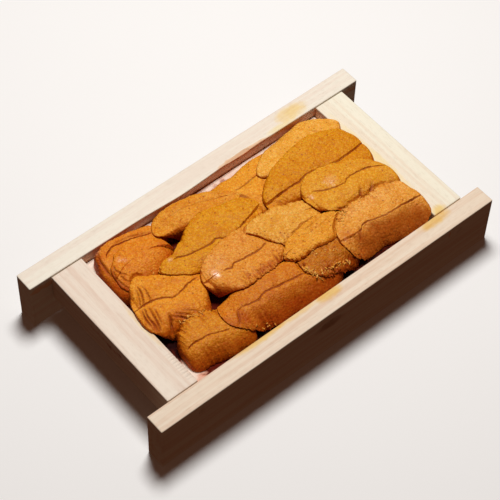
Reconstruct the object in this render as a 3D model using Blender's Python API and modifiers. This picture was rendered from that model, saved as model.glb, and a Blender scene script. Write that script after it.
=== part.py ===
"""A low wooden tray filled with sixteen overlapping tongues of sea urchin roe.

Metres, +Z up. +X runs along the two side rails, +Y points to the back rail, and the origin is the
centre of the tray at the level of the rails' feet.
"""
import math
from dataclasses import dataclass

import bmesh
import bpy
import numpy as np
from mathutils import Vector
from mathutils.bvhtree import BVHTree

MM = 0.001

# Tray
RAIL_LENGTH = 172.0 * MM
RAIL_WIDTH = 9.0 * MM
RAIL_HEIGHT = 26.0 * MM
TRAY_WIDTH = 91.8 * MM
END_RAIL_WIDTH = 14.8 * MM
END_RAIL_HEIGHT = 14.0 * MM
END_RAIL_DROP = 0.2 * MM
LEFT_END_INNER = -61.0 * MM
RIGHT_END_INNER = 62.2 * MM
FLOOR_TOP = 20.5 * MM
FLOOR_THICKNESS = 2.5 * MM
ARRIS = 0.5 * MM
GAP = 0.3 * MM
PRESS_GAP = 0.5 * MM

# Marks in the wood: two nail pits in each side rail and one splintered arris
NAIL_PIT_DIAMETER = 3.4 * MM
NAIL_PIT_DEPTH = 1.2 * MM
NAIL_PIT_BELOW_TOP = 5.2 * MM
NAIL_PIT_LEFT_X = -66.5 * MM
NAIL_PIT_RIGHT_X = 68.0 * MM
SPLINTER_START_X = 10.0 * MM
SPLINTER_END_X = 35.0 * MM
SPLINTER_WIDTH = 1.6 * MM
SPLINTER_DEPTH = 2.2 * MM

# Roe
WALL_CLEARANCE = 0.4 * MM
LIP = 1.3 * MM
LEAST_THICKNESS = 1.4 * MM
LEAST_RISE = 1.4 * MM
HIGH_ABOVE = 60.0 * MM
ALONG_SEGMENTS = 22
AROUND_SEGMENTS = 16
DRAPE_CELL = 0.5 * MM
DRAPE_REACH = 1.8 * MM
DRAPE_SLOPE = 0.9
DRAPE_RADIUS = 6.5 * MM

WOOD = (0.83, 0.72, 0.58)
ROE = (0.80, 0.36, 0.07)


@dataclass(frozen=True)
class Tongue:
    """One tongue of roe, drawn from above in millimetres.

    left and right are its two tips. back and front are the points that its edge passes on the side of
    the back rail and of the front rail, and furrow those that its crease passes, all from left to
    right. top is the height of its crown, and tilt how much that rises per millimetre along X and Y.
    fall_back and fall_front hold two exponents each, which say how roundly the crown drops to that
    edge, and ends one for each tip, where a small one is blunt. crease is the depth of the crease, and
    over names the rails that the edge lies on.
    """

    name: str
    left: tuple
    right: tuple
    back: tuple
    front: tuple
    furrow: tuple
    top: float
    tilt: tuple = (0.0, 0.0)
    fall_back: tuple = (4.0, 0.45)
    fall_front: tuple = (4.0, 0.45)
    crease: float = 0.5
    ends: tuple = (0.4, 0.4)
    over: tuple = ()


TONGUES = (
    Tongue("roe_back_left", (-60.5, 19.0), (-24.0, 26.5),
           back=((-60.0, 27.0), (-58.0, 32.2), (-54.5, 35.8), (-50.5, 36.5), (-44.5, 36.3),
                 (-37.5, 35.2), (-31.0, 33.8)),
           front=((-60.2, 12.0), (-56.0, 8.5), (-47.0, 8.5), (-36.0, 12.0), (-28.0, 19.0)),
           furrow=((-54.0, 29.2), (-51.0, 31.2), (-47.7, 31.6), (-39.5, 30.0), (-32.7, 28.0)),
           top=28.0, tilt=(-0.03, 0.02)),
    Tongue("roe_back_middle", (-5.0, 26.0), (36.0, 27.0),
           back=((-1.0, 31.2), (4.0, 32.2), (11.5, 31.9), (16.5, 33.1), (21.5, 33.7), (27.0, 33.6),
                 (33.0, 32.6)),
           front=((-1.0, 19.5), (6.0, 12.5), (12.5, 9.0), (20.0, 12.0), (31.0, 18.0)),
           furrow=((7.9, 23.1), (10.9, 22.9), (15.1, 23.5), (19.4, 24.0), (23.4, 24.6)),
           top=27.4),
    Tongue("roe_back_inner_left", (-57.8, 18.0), (-31.6, 17.8),
           back=((-57.0, 22.4), (-54.0, 25.8), (-50.3, 28.2), (-44.3, 29.2), (-38.5, 27.0),
                 (-34.2, 24.2), (-32.8, 21.4)),
           front=((-57.6, 13.5), (-54.0, 10.0), (-45.0, 8.5), (-37.0, 10.5), (-32.5, 14.5)),
           furrow=((-52.0, 20.5), (-44.0, 21.0), (-36.0, 20.5)),
           top=29.3, tilt=(0.0, 0.06), fall_front=(2.0, 0.6), crease=0.0),
    Tongue("roe_back_centre", (-32.8, 26.5), (7.0, 21.0),
           back=((-31.2, 30.0), (-28.6, 33.0), (-24.5, 35.4), (-13.2, 35.2), (-6.3, 33.7), (-0.7, 29.9),
                 (3.5, 25.8)),
           front=((-31.6, 23.9), (-28.0, 22.8), (-22.0, 20.9), (-12.0, 17.5), (2.0, 16.5)),
           furrow=((-25.0, 29.3), (-12.0, 28.3), (0.0, 24.0)),
           top=28.4, crease=0.0),
    Tongue("roe_mid_left", (-61.2, 2.2), (-26.5, -3.0),
           back=((-60.0, 6.2), (-56.9, 11.2), (-53.2, 14.2), (-50.5, 14.6), (-46.5, 12.0), (-41.0, 8.0),
                 (-35.0, 5.0)),
           front=((-62.0, -2.0), (-62.2, -6.5), (-61.0, -9.8), (-57.8, -13.2), (-52.0, -15.0),
                  (-44.0, -16.5),
                  (-34.5, -16.0), (-28.5, -11.0)),
           furrow=((-55.9, 2.2), (-52.1, 1.5), (-49.3, 0.4), (-45.7, -2.2), (-43.2, -2.4), (-37.3, -0.9),
                   (-32.6, -0.6)),
           top=28.3, tilt=(0.02, 0.02), over=("left",)),
    Tongue("roe_long_centre", (-42.5, 9.8), (10.0, 11.5),
           back=((-41.4, 12.0), (-38.2, 13.9), (-32.0, 15.0), (-26.3, 18.2), (-20.0, 21.3),
                 (-12.0, 22.9), (-5.0, 21.3),
                 (3.5, 19.4), (8.4, 16.3)),
           front=((-40.8, 7.0), (-37.2, 4.2), (-31.0, 0.8), (-20.0, 0.5), (-5.0, 3.0), (7.0, 6.0)),
           furrow=((-34.4, 11.2), (-30.3, 10.0), (-25.9, 8.8), (-18.7, 8.0), (-15.3, 8.4), (-10.5, 6.0),
                   (0.0, 8.0)),
           top=29.3, tilt=(0.0, 0.03)),
    Tongue("roe_back_right", (18.5, 23.0), (63.4, 24.5),
           back=((20.5, 26.0), (25.0, 29.2), (31.0, 32.2), (38.0, 34.3), (45.0, 35.4), (50.5, 36.5),
                 (55.5, 34.6),
                 (60.0, 29.8)),
           front=((20.5, 20.0), (28.0, 17.5), (40.0, 15.5), (54.0, 16.0), (62.0, 20.5)),
           furrow=((27.0, 25.0), (40.0, 26.0), (55.0, 26.0)),
           top=29.0, tilt=(0.0, -0.08), crease=0.0, ends=(0.4, 0.25), over=("right",)),
    Tongue("roe_long_right", (11.5, 9.4), (63.2, 8.5),
           back=((12.4, 12.7), (16.1, 16.5), (20.5, 19.6), (27.4, 22.3), (38.4, 24.6), (46.0, 25.4),
                 (53.5, 23.6),
                 (60.5, 20.5), (63.4, 14.5)),
           front=((12.5, 5.4), (21.0, 2.0), (34.0, -1.0), (48.0, -3.6), (59.0, -3.0), (63.2, 2.5)),
           furrow=((16.9, 9.4), (23.4, 9.4), (29.0, 9.1), (32.4, 10.1), (38.0, 9.5), (45.8, 7.5),
                   (55.8, 7.6)),
           top=29.7, tilt=(0.0, 0.05), ends=(0.4, 0.2), over=("right",)),
    Tongue("roe_front_left", (-57.9, -25.0), (-26.0, -26.0),
           back=((-57.3, -20.0), (-54.5, -15.6), (-50.0, -13.6), (-44.0, -13.3), (-36.0, -15.5),
                 (-30.0, -19.0)),
           front=((-58.0, -29.5), (-55.8, -32.0), (-50.1, -32.6), (-44.0, -34.6), (-38.0, -35.6),
                  (-30.0, -34.5)),
           furrow=((-55.6, -23.8), (-53.0, -23.2), (-49.2, -23.8), (-45.3, -24.4), (-38.1, -27.1)),
           top=27.9, fall_front=(1.7, 0.6)),
    Tongue("roe_front_middle", (-37.2, -21.5), (17.0, -31.5),
           back=((-35.6, -16.9), (-31.7, -14.6), (-27.0, -13.8), (-18.0, -13.6), (-8.0, -14.5),
                 (0.0, -16.5), (8.0, -21.0), (14.0, -26.5)),
           front=((-36.8, -26.0), (-34.0, -29.8), (-30.0, -32.3), (-25.5, -33.7), (-20.0, -34.5),
                  (-12.0, -35.2),
                  (-4.0, -35.9), (4.0, -36.2), (11.5, -35.6)),
           furrow=((-30.4, -22.9), (-27.8, -22.7), (-21.6, -24.2), (-16.3, -23.2), (-9.9, -24.4),
                   (-3.8, -25.4), (3.0, -26.3)),
           top=29.1, fall_front=(1.4, 0.7)),
    Tongue("roe_centre", (-32.7, -5.0), (7.0, -6.0),
           back=((-31.6, -1.6), (-28.0, 2.2), (-22.0, 4.6), (-16.0, 6.2), (-9.0, 6.6), (-2.0, 6.0),
                 (4.5, 0.5)),
           front=((-31.8, -8.9), (-28.0, -13.2), (-23.5, -16.1), (-18.0, -17.4), (-11.0, -17.2),
                  (-4.0, -16.6),
                  (2.8, -14.0)),
           furrow=((-22.8, -6.0), (-19.8, -6.7), (-17.0, -5.7), (-7.1, -6.9), (-1.8, -6.1)),
           top=30.0),
    Tongue("roe_front_ragged", (2.0, -24.5), (27.0, -27.0),
           back=((4.0, -20.5), (11.0, -17.5), (19.0, -17.5), (25.0, -21.0)),
           front=((3.5, -28.5), (7.0, -31.5), (11.5, -33.0), (18.0, -33.8), (24.5, -32.8)),
           furrow=((7.0, -24.5), (14.0, -25.0), (21.0, -25.5)),
           top=28.7, fall_front=(1.7, 0.6), crease=0.0),
    Tongue("roe_centre_right", (-4.4, 2.8), (30.0, -4.5),
           back=((-2.0, 5.3), (2.0, 6.6), (8.0, 6.9), (13.5, 6.0), (19.7, 4.1), (26.5, 0.5)),
           front=((-3.2, 1.2), (-1.4, -1.8), (-0.2, -4.6), (1.9, -8.4), (5.5, -12.2), (13.0, -14.0),
                  (23.0, -12.0)),
           furrow=((5.0, 0.5), (14.0, -1.5), (23.0, -4.0)),
           top=30.0, crease=0.0),
    Tongue("roe_inner_right", (-0.5, -15.5), (35.0, -13.0),
           back=((2.6, -12.3), (6.6, -10.0), (12.0, -8.7), (20.0, -8.2), (29.0, -9.2)),
           front=((0.2, -18.0), (3.2, -20.3), (9.0, -20.5), (15.0, -20.6), (22.0, -21.4), (30.0, -18.0)),
           furrow=((8.0, -14.8), (16.0, -14.5), (26.0, -13.5)),
           top=30.4, crease=0.0),
    Tongue("roe_mid_right", (23.9, -0.2), (62.8, -8.0),
           back=((25.4, 4.2), (28.2, 7.0), (31.2, 8.7), (36.0, 9.3), (43.0, 8.4), (48.0, 6.4),
                 (55.0, 3.2), (60.0, -2.0)),
           front=((24.3, -3.6), (25.8, -7.0), (29.0, -10.6), (34.0, -12.4), (41.0, -13.4),
                  (50.0, -14.4), (61.5, -15.0)),
           furrow=((29.4, 0.9), (32.3, -0.8), (36.3, -2.5), (42.1, -3.7), (44.7, -2.5), (50.9, -2.6),
                   (56.0, -4.0)),
           top=30.8, ends=(0.4, 0.2), over=("right",)),
    Tongue("roe_front_right", (21.9, -24.0), (63.6, -27.0),
           back=((23.6, -19.5), (27.5, -15.6), (32.0, -13.0), (38.9, -12.3), (45.0, -13.5),
                 (52.0, -12.6), (57.0, -14.4),
                 (62.0, -17.5)),
           front=((22.6, -28.5), (24.6, -32.4), (29.0, -33.4), (34.0, -33.3), (38.7, -32.7), (44.0, -34.3),
                  (52.0, -35.4), (60.0, -35.6), (63.4, -32.5)),
           furrow=((31.4, -25.2), (33.8, -23.7), (37.4, -23.8), (44.5, -25.8), (52.6, -26.1),
                   (58.0, -26.8)),
           top=30.2, fall_front=(1.2, 0.75), ends=(0.4, 0.2), over=("right",)),
)


def remove_everything():
    """Empty the scene."""
    for thing in list(bpy.data.objects):
        bpy.data.objects.remove(thing, do_unlink=True)


def make_collection(name):
    """Return a new collection linked to the scene."""
    collection = bpy.data.collections.new(name)
    bpy.context.scene.collection.children.link(collection)
    return collection


def make_material(name, colour, roughness):
    """Return a Principled material of one colour and roughness."""
    material = bpy.data.materials.new(name)
    material.use_nodes = True
    shader = material.node_tree.nodes["Principled BSDF"]
    shader.inputs["Base Color"].default_value = (*colour, 1.0)
    shader.inputs["Roughness"].default_value = roughness
    return material


def add_object(name, work, collection, material=None):
    """Make an object from a bmesh and free the bmesh."""
    mesh = bpy.data.meshes.new(name)
    work.to_mesh(mesh)
    work.free()
    thing = bpy.data.objects.new(name, mesh)
    collection.objects.link(thing)
    if material is not None:
        mesh.materials.append(material)
    return thing


def add_block(name, low, high, collection, material):
    """Make a wooden block between two corners, with eased arrises."""
    size = Vector(high) - Vector(low)
    work = bmesh.new()
    bmesh.ops.create_cube(work, size=1.0)
    bmesh.ops.scale(work, vec=size, verts=work.verts)
    block = add_object(name, work, collection, material)
    block.location = (Vector(high) + Vector(low)) / 2.0
    ease = block.modifiers.new("eased_arrises", "BEVEL")
    ease.width = ARRIS
    ease.segments = 2
    return block


def hide_cutter(cutter):
    """Keep a cutter out of the model and draw it as wires."""
    cutter.hide_render = True
    cutter.display_type = "WIRE"


def cut(thing, cutter):
    """Subtract a cutter from an object."""
    boolean = thing.modifiers.new(cutter.name, "BOOLEAN")
    boolean.operation = "DIFFERENCE"
    boolean.solver = "EXACT"
    boolean.object = cutter


def cut_nail_pit(rail, name, x, side, cutters):
    """Sink the conical pit of a nail into a side rail's outer face."""
    work = bmesh.new()
    bmesh.ops.create_cone(work, cap_ends=True, segments=16, radius1=NAIL_PIT_DIAMETER * 0.25,
                          radius2=NAIL_PIT_DIAMETER * 0.75, depth=2.0 * NAIL_PIT_DEPTH)
    pit = add_object(name, work, cutters)
    pit.location = (x, side * TRAY_WIDTH / 2.0, RAIL_HEIGHT - NAIL_PIT_BELOW_TOP)
    pit.rotation_euler = (-side * math.pi / 2.0, 0.0, 0.0)
    hide_cutter(pit)
    cut(rail, pit)


def cut_splinter(rail, cutters):
    """Take a long flat splinter off the back rail's inner top arris."""
    work = bmesh.new()
    bmesh.ops.create_cone(work, cap_ends=True, segments=4, radius1=1.0, radius2=1.0, depth=1.0)
    half_length = (SPLINTER_END_X - SPLINTER_START_X) / 2.0
    bmesh.ops.scale(work, vec=(half_length, SPLINTER_WIDTH, 2.0 * SPLINTER_DEPTH), verts=work.verts)
    wedge = add_object("splinter_cutter", work, cutters)
    inner_face = TRAY_WIDTH / 2.0 - RAIL_WIDTH
    wedge.location = ((SPLINTER_START_X + SPLINTER_END_X) / 2.0, inner_face, RAIL_HEIGHT)
    wedge.rotation_euler = (math.radians(12.0), 0.0, 0.0)
    hide_cutter(wedge)
    cut(rail, wedge)


def build_tray(collection, cutters):
    """Make the two side rails, the two end rails between them and the floor board."""
    wood = {name: make_material(name, WOOD, 0.6)
            for name in ("rail_front", "rail_back", "end_rail_left", "end_rail_right", "floor_board")}
    half_length = RAIL_LENGTH / 2.0
    outer = TRAY_WIDTH / 2.0
    inner = outer - RAIL_WIDTH
    for name, side in (("rail_front", -1), ("rail_back", 1)):
        low_y, high_y = sorted((side * inner, side * outer))
        rail = add_block(name, (-half_length, low_y, 0.0), (half_length, high_y, RAIL_HEIGHT),
                         collection, wood[name])
        cut_nail_pit(rail, name + "_pit_left", NAIL_PIT_LEFT_X, side, cutters)
        cut_nail_pit(rail, name + "_pit_right", NAIL_PIT_RIGHT_X, side, cutters)
        if side > 0:
            cut_splinter(rail, cutters)
    end_top = RAIL_HEIGHT - END_RAIL_DROP
    end_bottom = RAIL_HEIGHT - END_RAIL_HEIGHT
    span = inner - GAP
    add_block("end_rail_left", (LEFT_END_INNER - END_RAIL_WIDTH, -span, end_bottom),
              (LEFT_END_INNER, span, end_top), collection, wood["end_rail_left"])
    add_block("end_rail_right", (RIGHT_END_INNER, -span, end_bottom),
              (RIGHT_END_INNER + END_RAIL_WIDTH, span, end_top), collection, wood["end_rail_right"])
    add_block("floor_board", (LEFT_END_INNER + GAP, -span, FLOOR_TOP - FLOOR_THICKNESS),
              (RIGHT_END_INNER - GAP, span, FLOOR_TOP), collection, wood["floor_board"])


def smooth_path(points, closed=False, steps=12):
    """Return a dense Catmull-Rom polyline through the points, as an array."""
    points = np.array(points, float)
    if closed:
        padded = np.vstack([points[-1], points, points[:2]])
    else:
        padded = np.vstack([2 * points[0] - points[1], points, 2 * points[-1] - points[-2]])
    fraction = np.arange(steps)[:, None] / steps
    pieces = []
    for before, start, end, after in zip(padded[:-3], padded[1:-2], padded[2:-1], padded[3:]):
        pieces.append(0.5 * (2 * start + (end - before) * fraction
                             + (2 * before - 5 * start + 4 * end - after) * fraction ** 2
                             + (3 * start - before - 3 * end + after) * fraction ** 3))
    pieces.append(points[:1] if closed else points[-1:])
    return np.vstack(pieces)


def along_path(path, fraction):
    """Return the points at the given fractions of a polyline's length."""
    steps = np.linalg.norm(np.diff(path, axis=0), axis=1)
    travelled = np.concatenate([[0.0], np.cumsum(steps)]) / steps.sum()
    return np.stack([np.interp(fraction, travelled, path[:, axis]) for axis in (0, 1)], axis=-1)


def edge_paths(tongue, steps=12):
    """Return the back and the front half of a tongue's outline, each from its left to its right tip."""
    loop = [tongue.left, *tongue.back, tongue.right, *reversed(tongue.front)]
    outline = smooth_path(loop, closed=True, steps=steps)
    turn = (len(tongue.back) + 1) * steps
    return outline[:turn + 1], outline[turn:][::-1]


class Grid:
    """A square grid seen from above, which carries heights of the pile as arrays."""

    def __init__(self):
        """Cover the inside of the tray and the inner part of its rails."""
        self.x = np.arange(-70.0, 70.01, DRAPE_CELL / MM) * MM
        self.y = np.arange(-42.0, 42.01, DRAPE_CELL / MM) * MM

    def flat(self, height):
        """Return a level field."""
        return np.full((len(self.x), len(self.y)), height)

    def with_rails(self, field, names):
        """Return a field with the named end rails' tops added."""
        field = field.copy()
        if "left" in names:
            field[self.x < LEFT_END_INNER, :] = RAIL_HEIGHT
        if "right" in names:
            field[self.x > RIGHT_END_INNER, :] = RAIL_HEIGHT
        return field

    def draped(self, field):
        """Return the level of a soft sheet that lies on a field, nowhere steeper than DRAPE_SLOPE."""
        cells = int(round(DRAPE_RADIUS / DRAPE_CELL))
        padded = np.pad(field, cells, mode="edge")
        result = field.copy()
        for shift_x in range(2 * cells + 1):
            for shift_y in range(2 * cells + 1):
                distance = math.hypot(shift_x - cells, shift_y - cells) * DRAPE_CELL
                if distance <= DRAPE_RADIUS:
                    fall = DRAPE_SLOPE * max(0.0, distance - DRAPE_REACH)
                    part = padded[shift_x:shift_x + len(self.x), shift_y:shift_y + len(self.y)]
                    np.maximum(result, part - fall, out=result)
        return result

    def level(self, field, plan):
        """Return a field's values at the given plan points."""
        column = np.clip((plan[:, 0] - self.x[0]) / DRAPE_CELL, 0, len(self.x) - 1.001)
        row = np.clip((plan[:, 1] - self.y[0]) / DRAPE_CELL, 0, len(self.y) - 1.001)
        i, j = column.astype(int), row.astype(int)
        u, v = column - i, row - j
        return (field[i, j] * (1 - u) * (1 - v) + field[i + 1, j] * u * (1 - v)
                + field[i, j + 1] * (1 - u) * v + field[i + 1, j + 1] * u * v)

    def seen(self, work, plan, from_above, missing):
        """Return the heights at which rays from above or below first meet a mesh."""
        tree = BVHTree.FromBMesh(work)
        start = 1.0 if from_above else -1.0
        ray = Vector((0.0, 0.0, -start))
        field = self.flat(missing)
        columns = np.flatnonzero((self.x >= plan[:, 0].min()) & (self.x <= plan[:, 0].max()))
        rows = np.flatnonzero((self.y >= plan[:, 1].min()) & (self.y <= plan[:, 1].max()))
        for i in columns:
            for j in rows:
                hit = tree.ray_cast(Vector((self.x[i], self.y[j], start)), ray)[0]
                if hit is not None:
                    field[i, j] = hit.z
        return field


def keep_inside(plan, tongue):
    """Hold plan points off the walls that the tongue doesn't lie over."""
    inner = TRAY_WIDTH / 2.0 - RAIL_WIDTH - WALL_CLEARANCE
    plan[:, 1] = np.clip(plan[:, 1], -inner, inner)
    if "left" not in tongue.over:
        plan[:, 0] = np.maximum(plan[:, 0], LEFT_END_INNER + WALL_CLEARANCE)
    if "right" not in tongue.over:
        plan[:, 0] = np.minimum(plan[:, 0], RIGHT_END_INNER - WALL_CLEARANCE)
    return plan


class Piece:
    """A tongue's mesh: a unit sphere with its poles at the tips, moved point by point."""

    def __init__(self, tongue):
        """Make the sphere and work out where its points lie seen from above."""
        self.tongue = tongue
        self.work = bmesh.new()
        bmesh.ops.create_uvsphere(self.work, u_segments=AROUND_SEGMENTS, v_segments=ALONG_SEGMENTS,
                                  radius=1.0)
        ball = np.array([(vert.co.z, vert.co.x, vert.co.y) for vert in self.work.verts])
        along = np.arccos(np.clip(-ball[:, 0], -1.0, 1.0)) / math.pi
        across = np.abs(ball[:, 1]) / np.maximum(np.hypot(ball[:, 1], ball[:, 2]), 1e-9)
        is_back = ball[:, 1] >= 0.0
        self.is_top = ball[:, 2] >= 0.0
        self.creased = across < 0.1

        back_path, front_path = edge_paths(tongue)
        edge = np.where(is_back[:, None], along_path(back_path, along), along_path(front_path, along)) * MM
        spine_path = smooth_path([tongue.left, *tongue.furrow, tongue.right])
        spine = along_path(spine_path, (1.0 - np.cos(math.pi * along)) / 2.0) * MM
        self.edge = keep_inside(edge, tongue)
        self.plan = keep_inside(spine + (self.edge - spine) * across[:, None], tongue)

        power = np.where(is_back, tongue.fall_back[0], tongue.fall_front[0])
        root = np.where(is_back, tongue.fall_back[1], tongue.fall_front[1])
        blunt = np.where(along < 0.5, tongue.ends[0], tongue.ends[1])
        ends = np.sin(math.pi * along).clip(0.0) ** blunt
        self.crown = ends * ((1.0 - across ** power).clip(0.0) ** root)
        self.upper = self.underside = None

    def lie_on(self, grid, below):
        """Lay the tongue on a field of heights."""
        tongue = self.tongue
        draped = grid.draped(grid.with_rails(below, tongue.over))
        centre = (np.array(tongue.left) + np.array(tongue.right)) / 2.0 * MM
        crest = tongue.top * MM + (self.plan - centre) @ np.array(tongue.tilt)
        rim = np.minimum(grid.level(draped, self.edge) + GAP + LIP, crest - LEAST_RISE)
        crest -= tongue.crease * MM * self.creased
        self.upper = rim + (crest - rim) * self.crown
        resting = grid.level(draped, self.plan) + GAP + LIP * (1.0 - self.crown)
        self.underside = np.minimum(resting, self.upper - LEAST_THICKNESS * self.crown)
        self.move_points()

    def press_under(self, grid, above):
        """Press the tongue down under a field of the undersides that lie on it."""
        ceiling = -grid.draped(-above)
        self.upper = np.minimum(self.upper, grid.level(ceiling, self.plan) - PRESS_GAP)
        self.underside = np.minimum(self.underside, self.upper - LEAST_THICKNESS * self.crown)
        self.underside = np.maximum(self.underside, FLOOR_TOP + GAP)
        self.move_points()

    def move_points(self):
        """Give the mesh its present heights."""
        height = np.where(self.is_top, self.upper, self.underside)
        for vert, (x, y), z in zip(self.work.verts, self.plan, height):
            vert.co = (x, y, z)


def lay_tongues():
    """Return the tongues, laid from the lowest to the highest and then pressed by those above them."""
    grid = Grid()
    pieces = [Piece(tongue) for tongue in TONGUES]
    below = grid.flat(FLOOR_TOP)
    for piece in pieces:
        bmesh.ops.triangulate(piece.work, faces=piece.work.faces)
        piece.lie_on(grid, below)
        below = np.maximum(below, grid.seen(piece.work, piece.plan, True, FLOOR_TOP))
    above = grid.flat(HIGH_ABOVE)
    for piece in reversed(pieces):
        piece.press_under(grid, above)
        above = np.minimum(above, grid.seen(piece.work, piece.plan, False, HIGH_ABOVE))
    return pieces


def main():
    """Build the tray and fill it with roe."""
    remove_everything()
    collection = make_collection("sea_urchin_roe_tray")
    cutters = make_collection("cutters")
    build_tray(collection, cutters)
    for piece in lay_tongues():
        name = piece.tongue.name
        roe = add_object(name, piece.work, collection, make_material(name, ROE, 0.35))
        roe.data.shade_smooth()


main()
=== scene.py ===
"""Looks of a low wooden tray filled with sixteen overlapping tongues of sea urchin roe.

Metres, +Z up. +X runs along the two side rails, +Y points to the back rail, and the origin is the
centre of the tray at the level of the rails' feet.
"""
import logging
import math
import random
from dataclasses import dataclass, field
from enum import Enum
from typing import Callable

import bmesh
import bpy
import numpy as np
from mathutils import Matrix, Vector, noise
from mathutils.bvhtree import BVHTree


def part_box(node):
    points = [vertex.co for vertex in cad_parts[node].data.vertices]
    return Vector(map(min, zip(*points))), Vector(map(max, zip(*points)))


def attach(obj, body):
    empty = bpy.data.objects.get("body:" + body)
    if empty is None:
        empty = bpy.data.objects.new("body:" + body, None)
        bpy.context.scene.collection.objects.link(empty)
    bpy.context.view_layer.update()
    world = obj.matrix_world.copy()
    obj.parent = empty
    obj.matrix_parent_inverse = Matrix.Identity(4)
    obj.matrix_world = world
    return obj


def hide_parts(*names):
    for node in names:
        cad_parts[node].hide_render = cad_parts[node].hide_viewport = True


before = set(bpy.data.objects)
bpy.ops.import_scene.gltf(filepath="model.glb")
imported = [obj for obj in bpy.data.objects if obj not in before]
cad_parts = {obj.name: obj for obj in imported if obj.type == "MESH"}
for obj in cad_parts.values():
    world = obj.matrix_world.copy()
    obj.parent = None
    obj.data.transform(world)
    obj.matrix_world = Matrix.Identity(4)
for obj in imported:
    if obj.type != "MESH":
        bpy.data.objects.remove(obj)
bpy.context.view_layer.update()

LOG = logging.getLogger("roe_tray")
MM = 0.001
Plan = tuple[float, float]
Spot = tuple[float, float, float, float, float]
Colour = tuple[float, float, float]
Corner = tuple[float, float, float]
Mark = Callable[[np.ndarray], np.ndarray]

# The tray, as its solids have it
RAIL_WIDTH = 9.0 * MM
RAIL_HEIGHT = 26.0 * MM
TRAY_WIDTH = 91.8 * MM
INNER_FACE = TRAY_WIDTH / 2.0 - RAIL_WIDTH
LEFT_END_INNER = -61.0 * MM
RIGHT_END_INNER = 62.2 * MM
FLOOR_TOP = 20.5 * MM
NAIL_HEIGHT = 20.8 * MM
NAIL_DEPTH = 1.0 * MM

# What a tongue's mesh tells its finish at each of its points: painted shade along the crease, painted shade
# in the dents and around the folds, painted shade where it faces away from the lamp, moistness with a
# painted sheen, and painted light
MARKS = ("furrow", "frill", "painted_shade", "wet_and_sheen", "painted_light")
# How many short lines stand for each stretch of a curve
STEPS = 16


class Slot(Enum):
    """The record's material slots."""

    TRAY_WOOD = "tray_wood"
    FLOOR_WOOD = "floor_wood"
    ORANGE = "roe_orange"
    OCHRE = "roe_ochre"
    DEEP = "roe_deep"
    PALE = "roe_pale"


class Axis(Enum):
    """The direction of a board's grain."""

    X = 0
    Y = 1


def tone(red: float, green: float, blue: float) -> Colour:
    """Turn a display colour into a linear one.

    Args:
        red, green, blue: The colour as a screen shows it, from 0 to 255.

    Returns:
        The linear colour, from 0 to 1.
    """
    def linear(value: float) -> float:
        """Undo the display curve of one channel."""
        part = value / 255.0
        return part / 12.92 if part <= 0.04045 else ((part + 0.055) / 1.055) ** 2.4
    return linear(red), linear(green), linear(blue)


class Term:
    """One socket of a material, ready for arithmetic."""

    def __init__(self, paint: "Paint", socket: bpy.types.NodeSocket) -> None:
        """Wrap a socket of a paint's node tree."""
        self.paint = paint
        self.socket = socket

    def _math(self, operation: str, first: object, second: object = 0.0) -> "Term":
        """Add a Math node of two values and return its result."""
        return self.paint.node("ShaderNodeMath", {"operation": operation}, {0: first, 1: second})

    def __add__(self, other: object) -> "Term":
        """Add a value or another term."""
        return self._math("ADD", self, other)

    __radd__ = __add__

    def __mul__(self, other: object) -> "Term":
        """Multiply by a value or another term."""
        return self._math("MULTIPLY", self, other)

    __rmul__ = __mul__

    def __sub__(self, other: object) -> "Term":
        """Take away a value or another term."""
        return self._math("SUBTRACT", self, other)

    def __rsub__(self, other: object) -> "Term":
        """Take this term away from a value."""
        return self._math("SUBTRACT", other, self)

    def __truediv__(self, other: object) -> "Term":
        """Divide by a value or another term."""
        return self._math("DIVIDE", self, other)

    def __pow__(self, power: float) -> "Term":
        """Raise to a power."""
        return self._math("POWER", self, power)

    def ease(self, low: float, high: float) -> "Term":
        """Rise smoothly from 0 to 1.

        Args:
            low: The value at which the result leaves 0.
            high: The value at which it reaches 1.

        Returns:
            The smooth step.
        """
        return self.paint.node("ShaderNodeMapRange", {"interpolation_type": "SMOOTHSTEP"},
                               {"Value": self, "From Min": low, "From Max": high})


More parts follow.
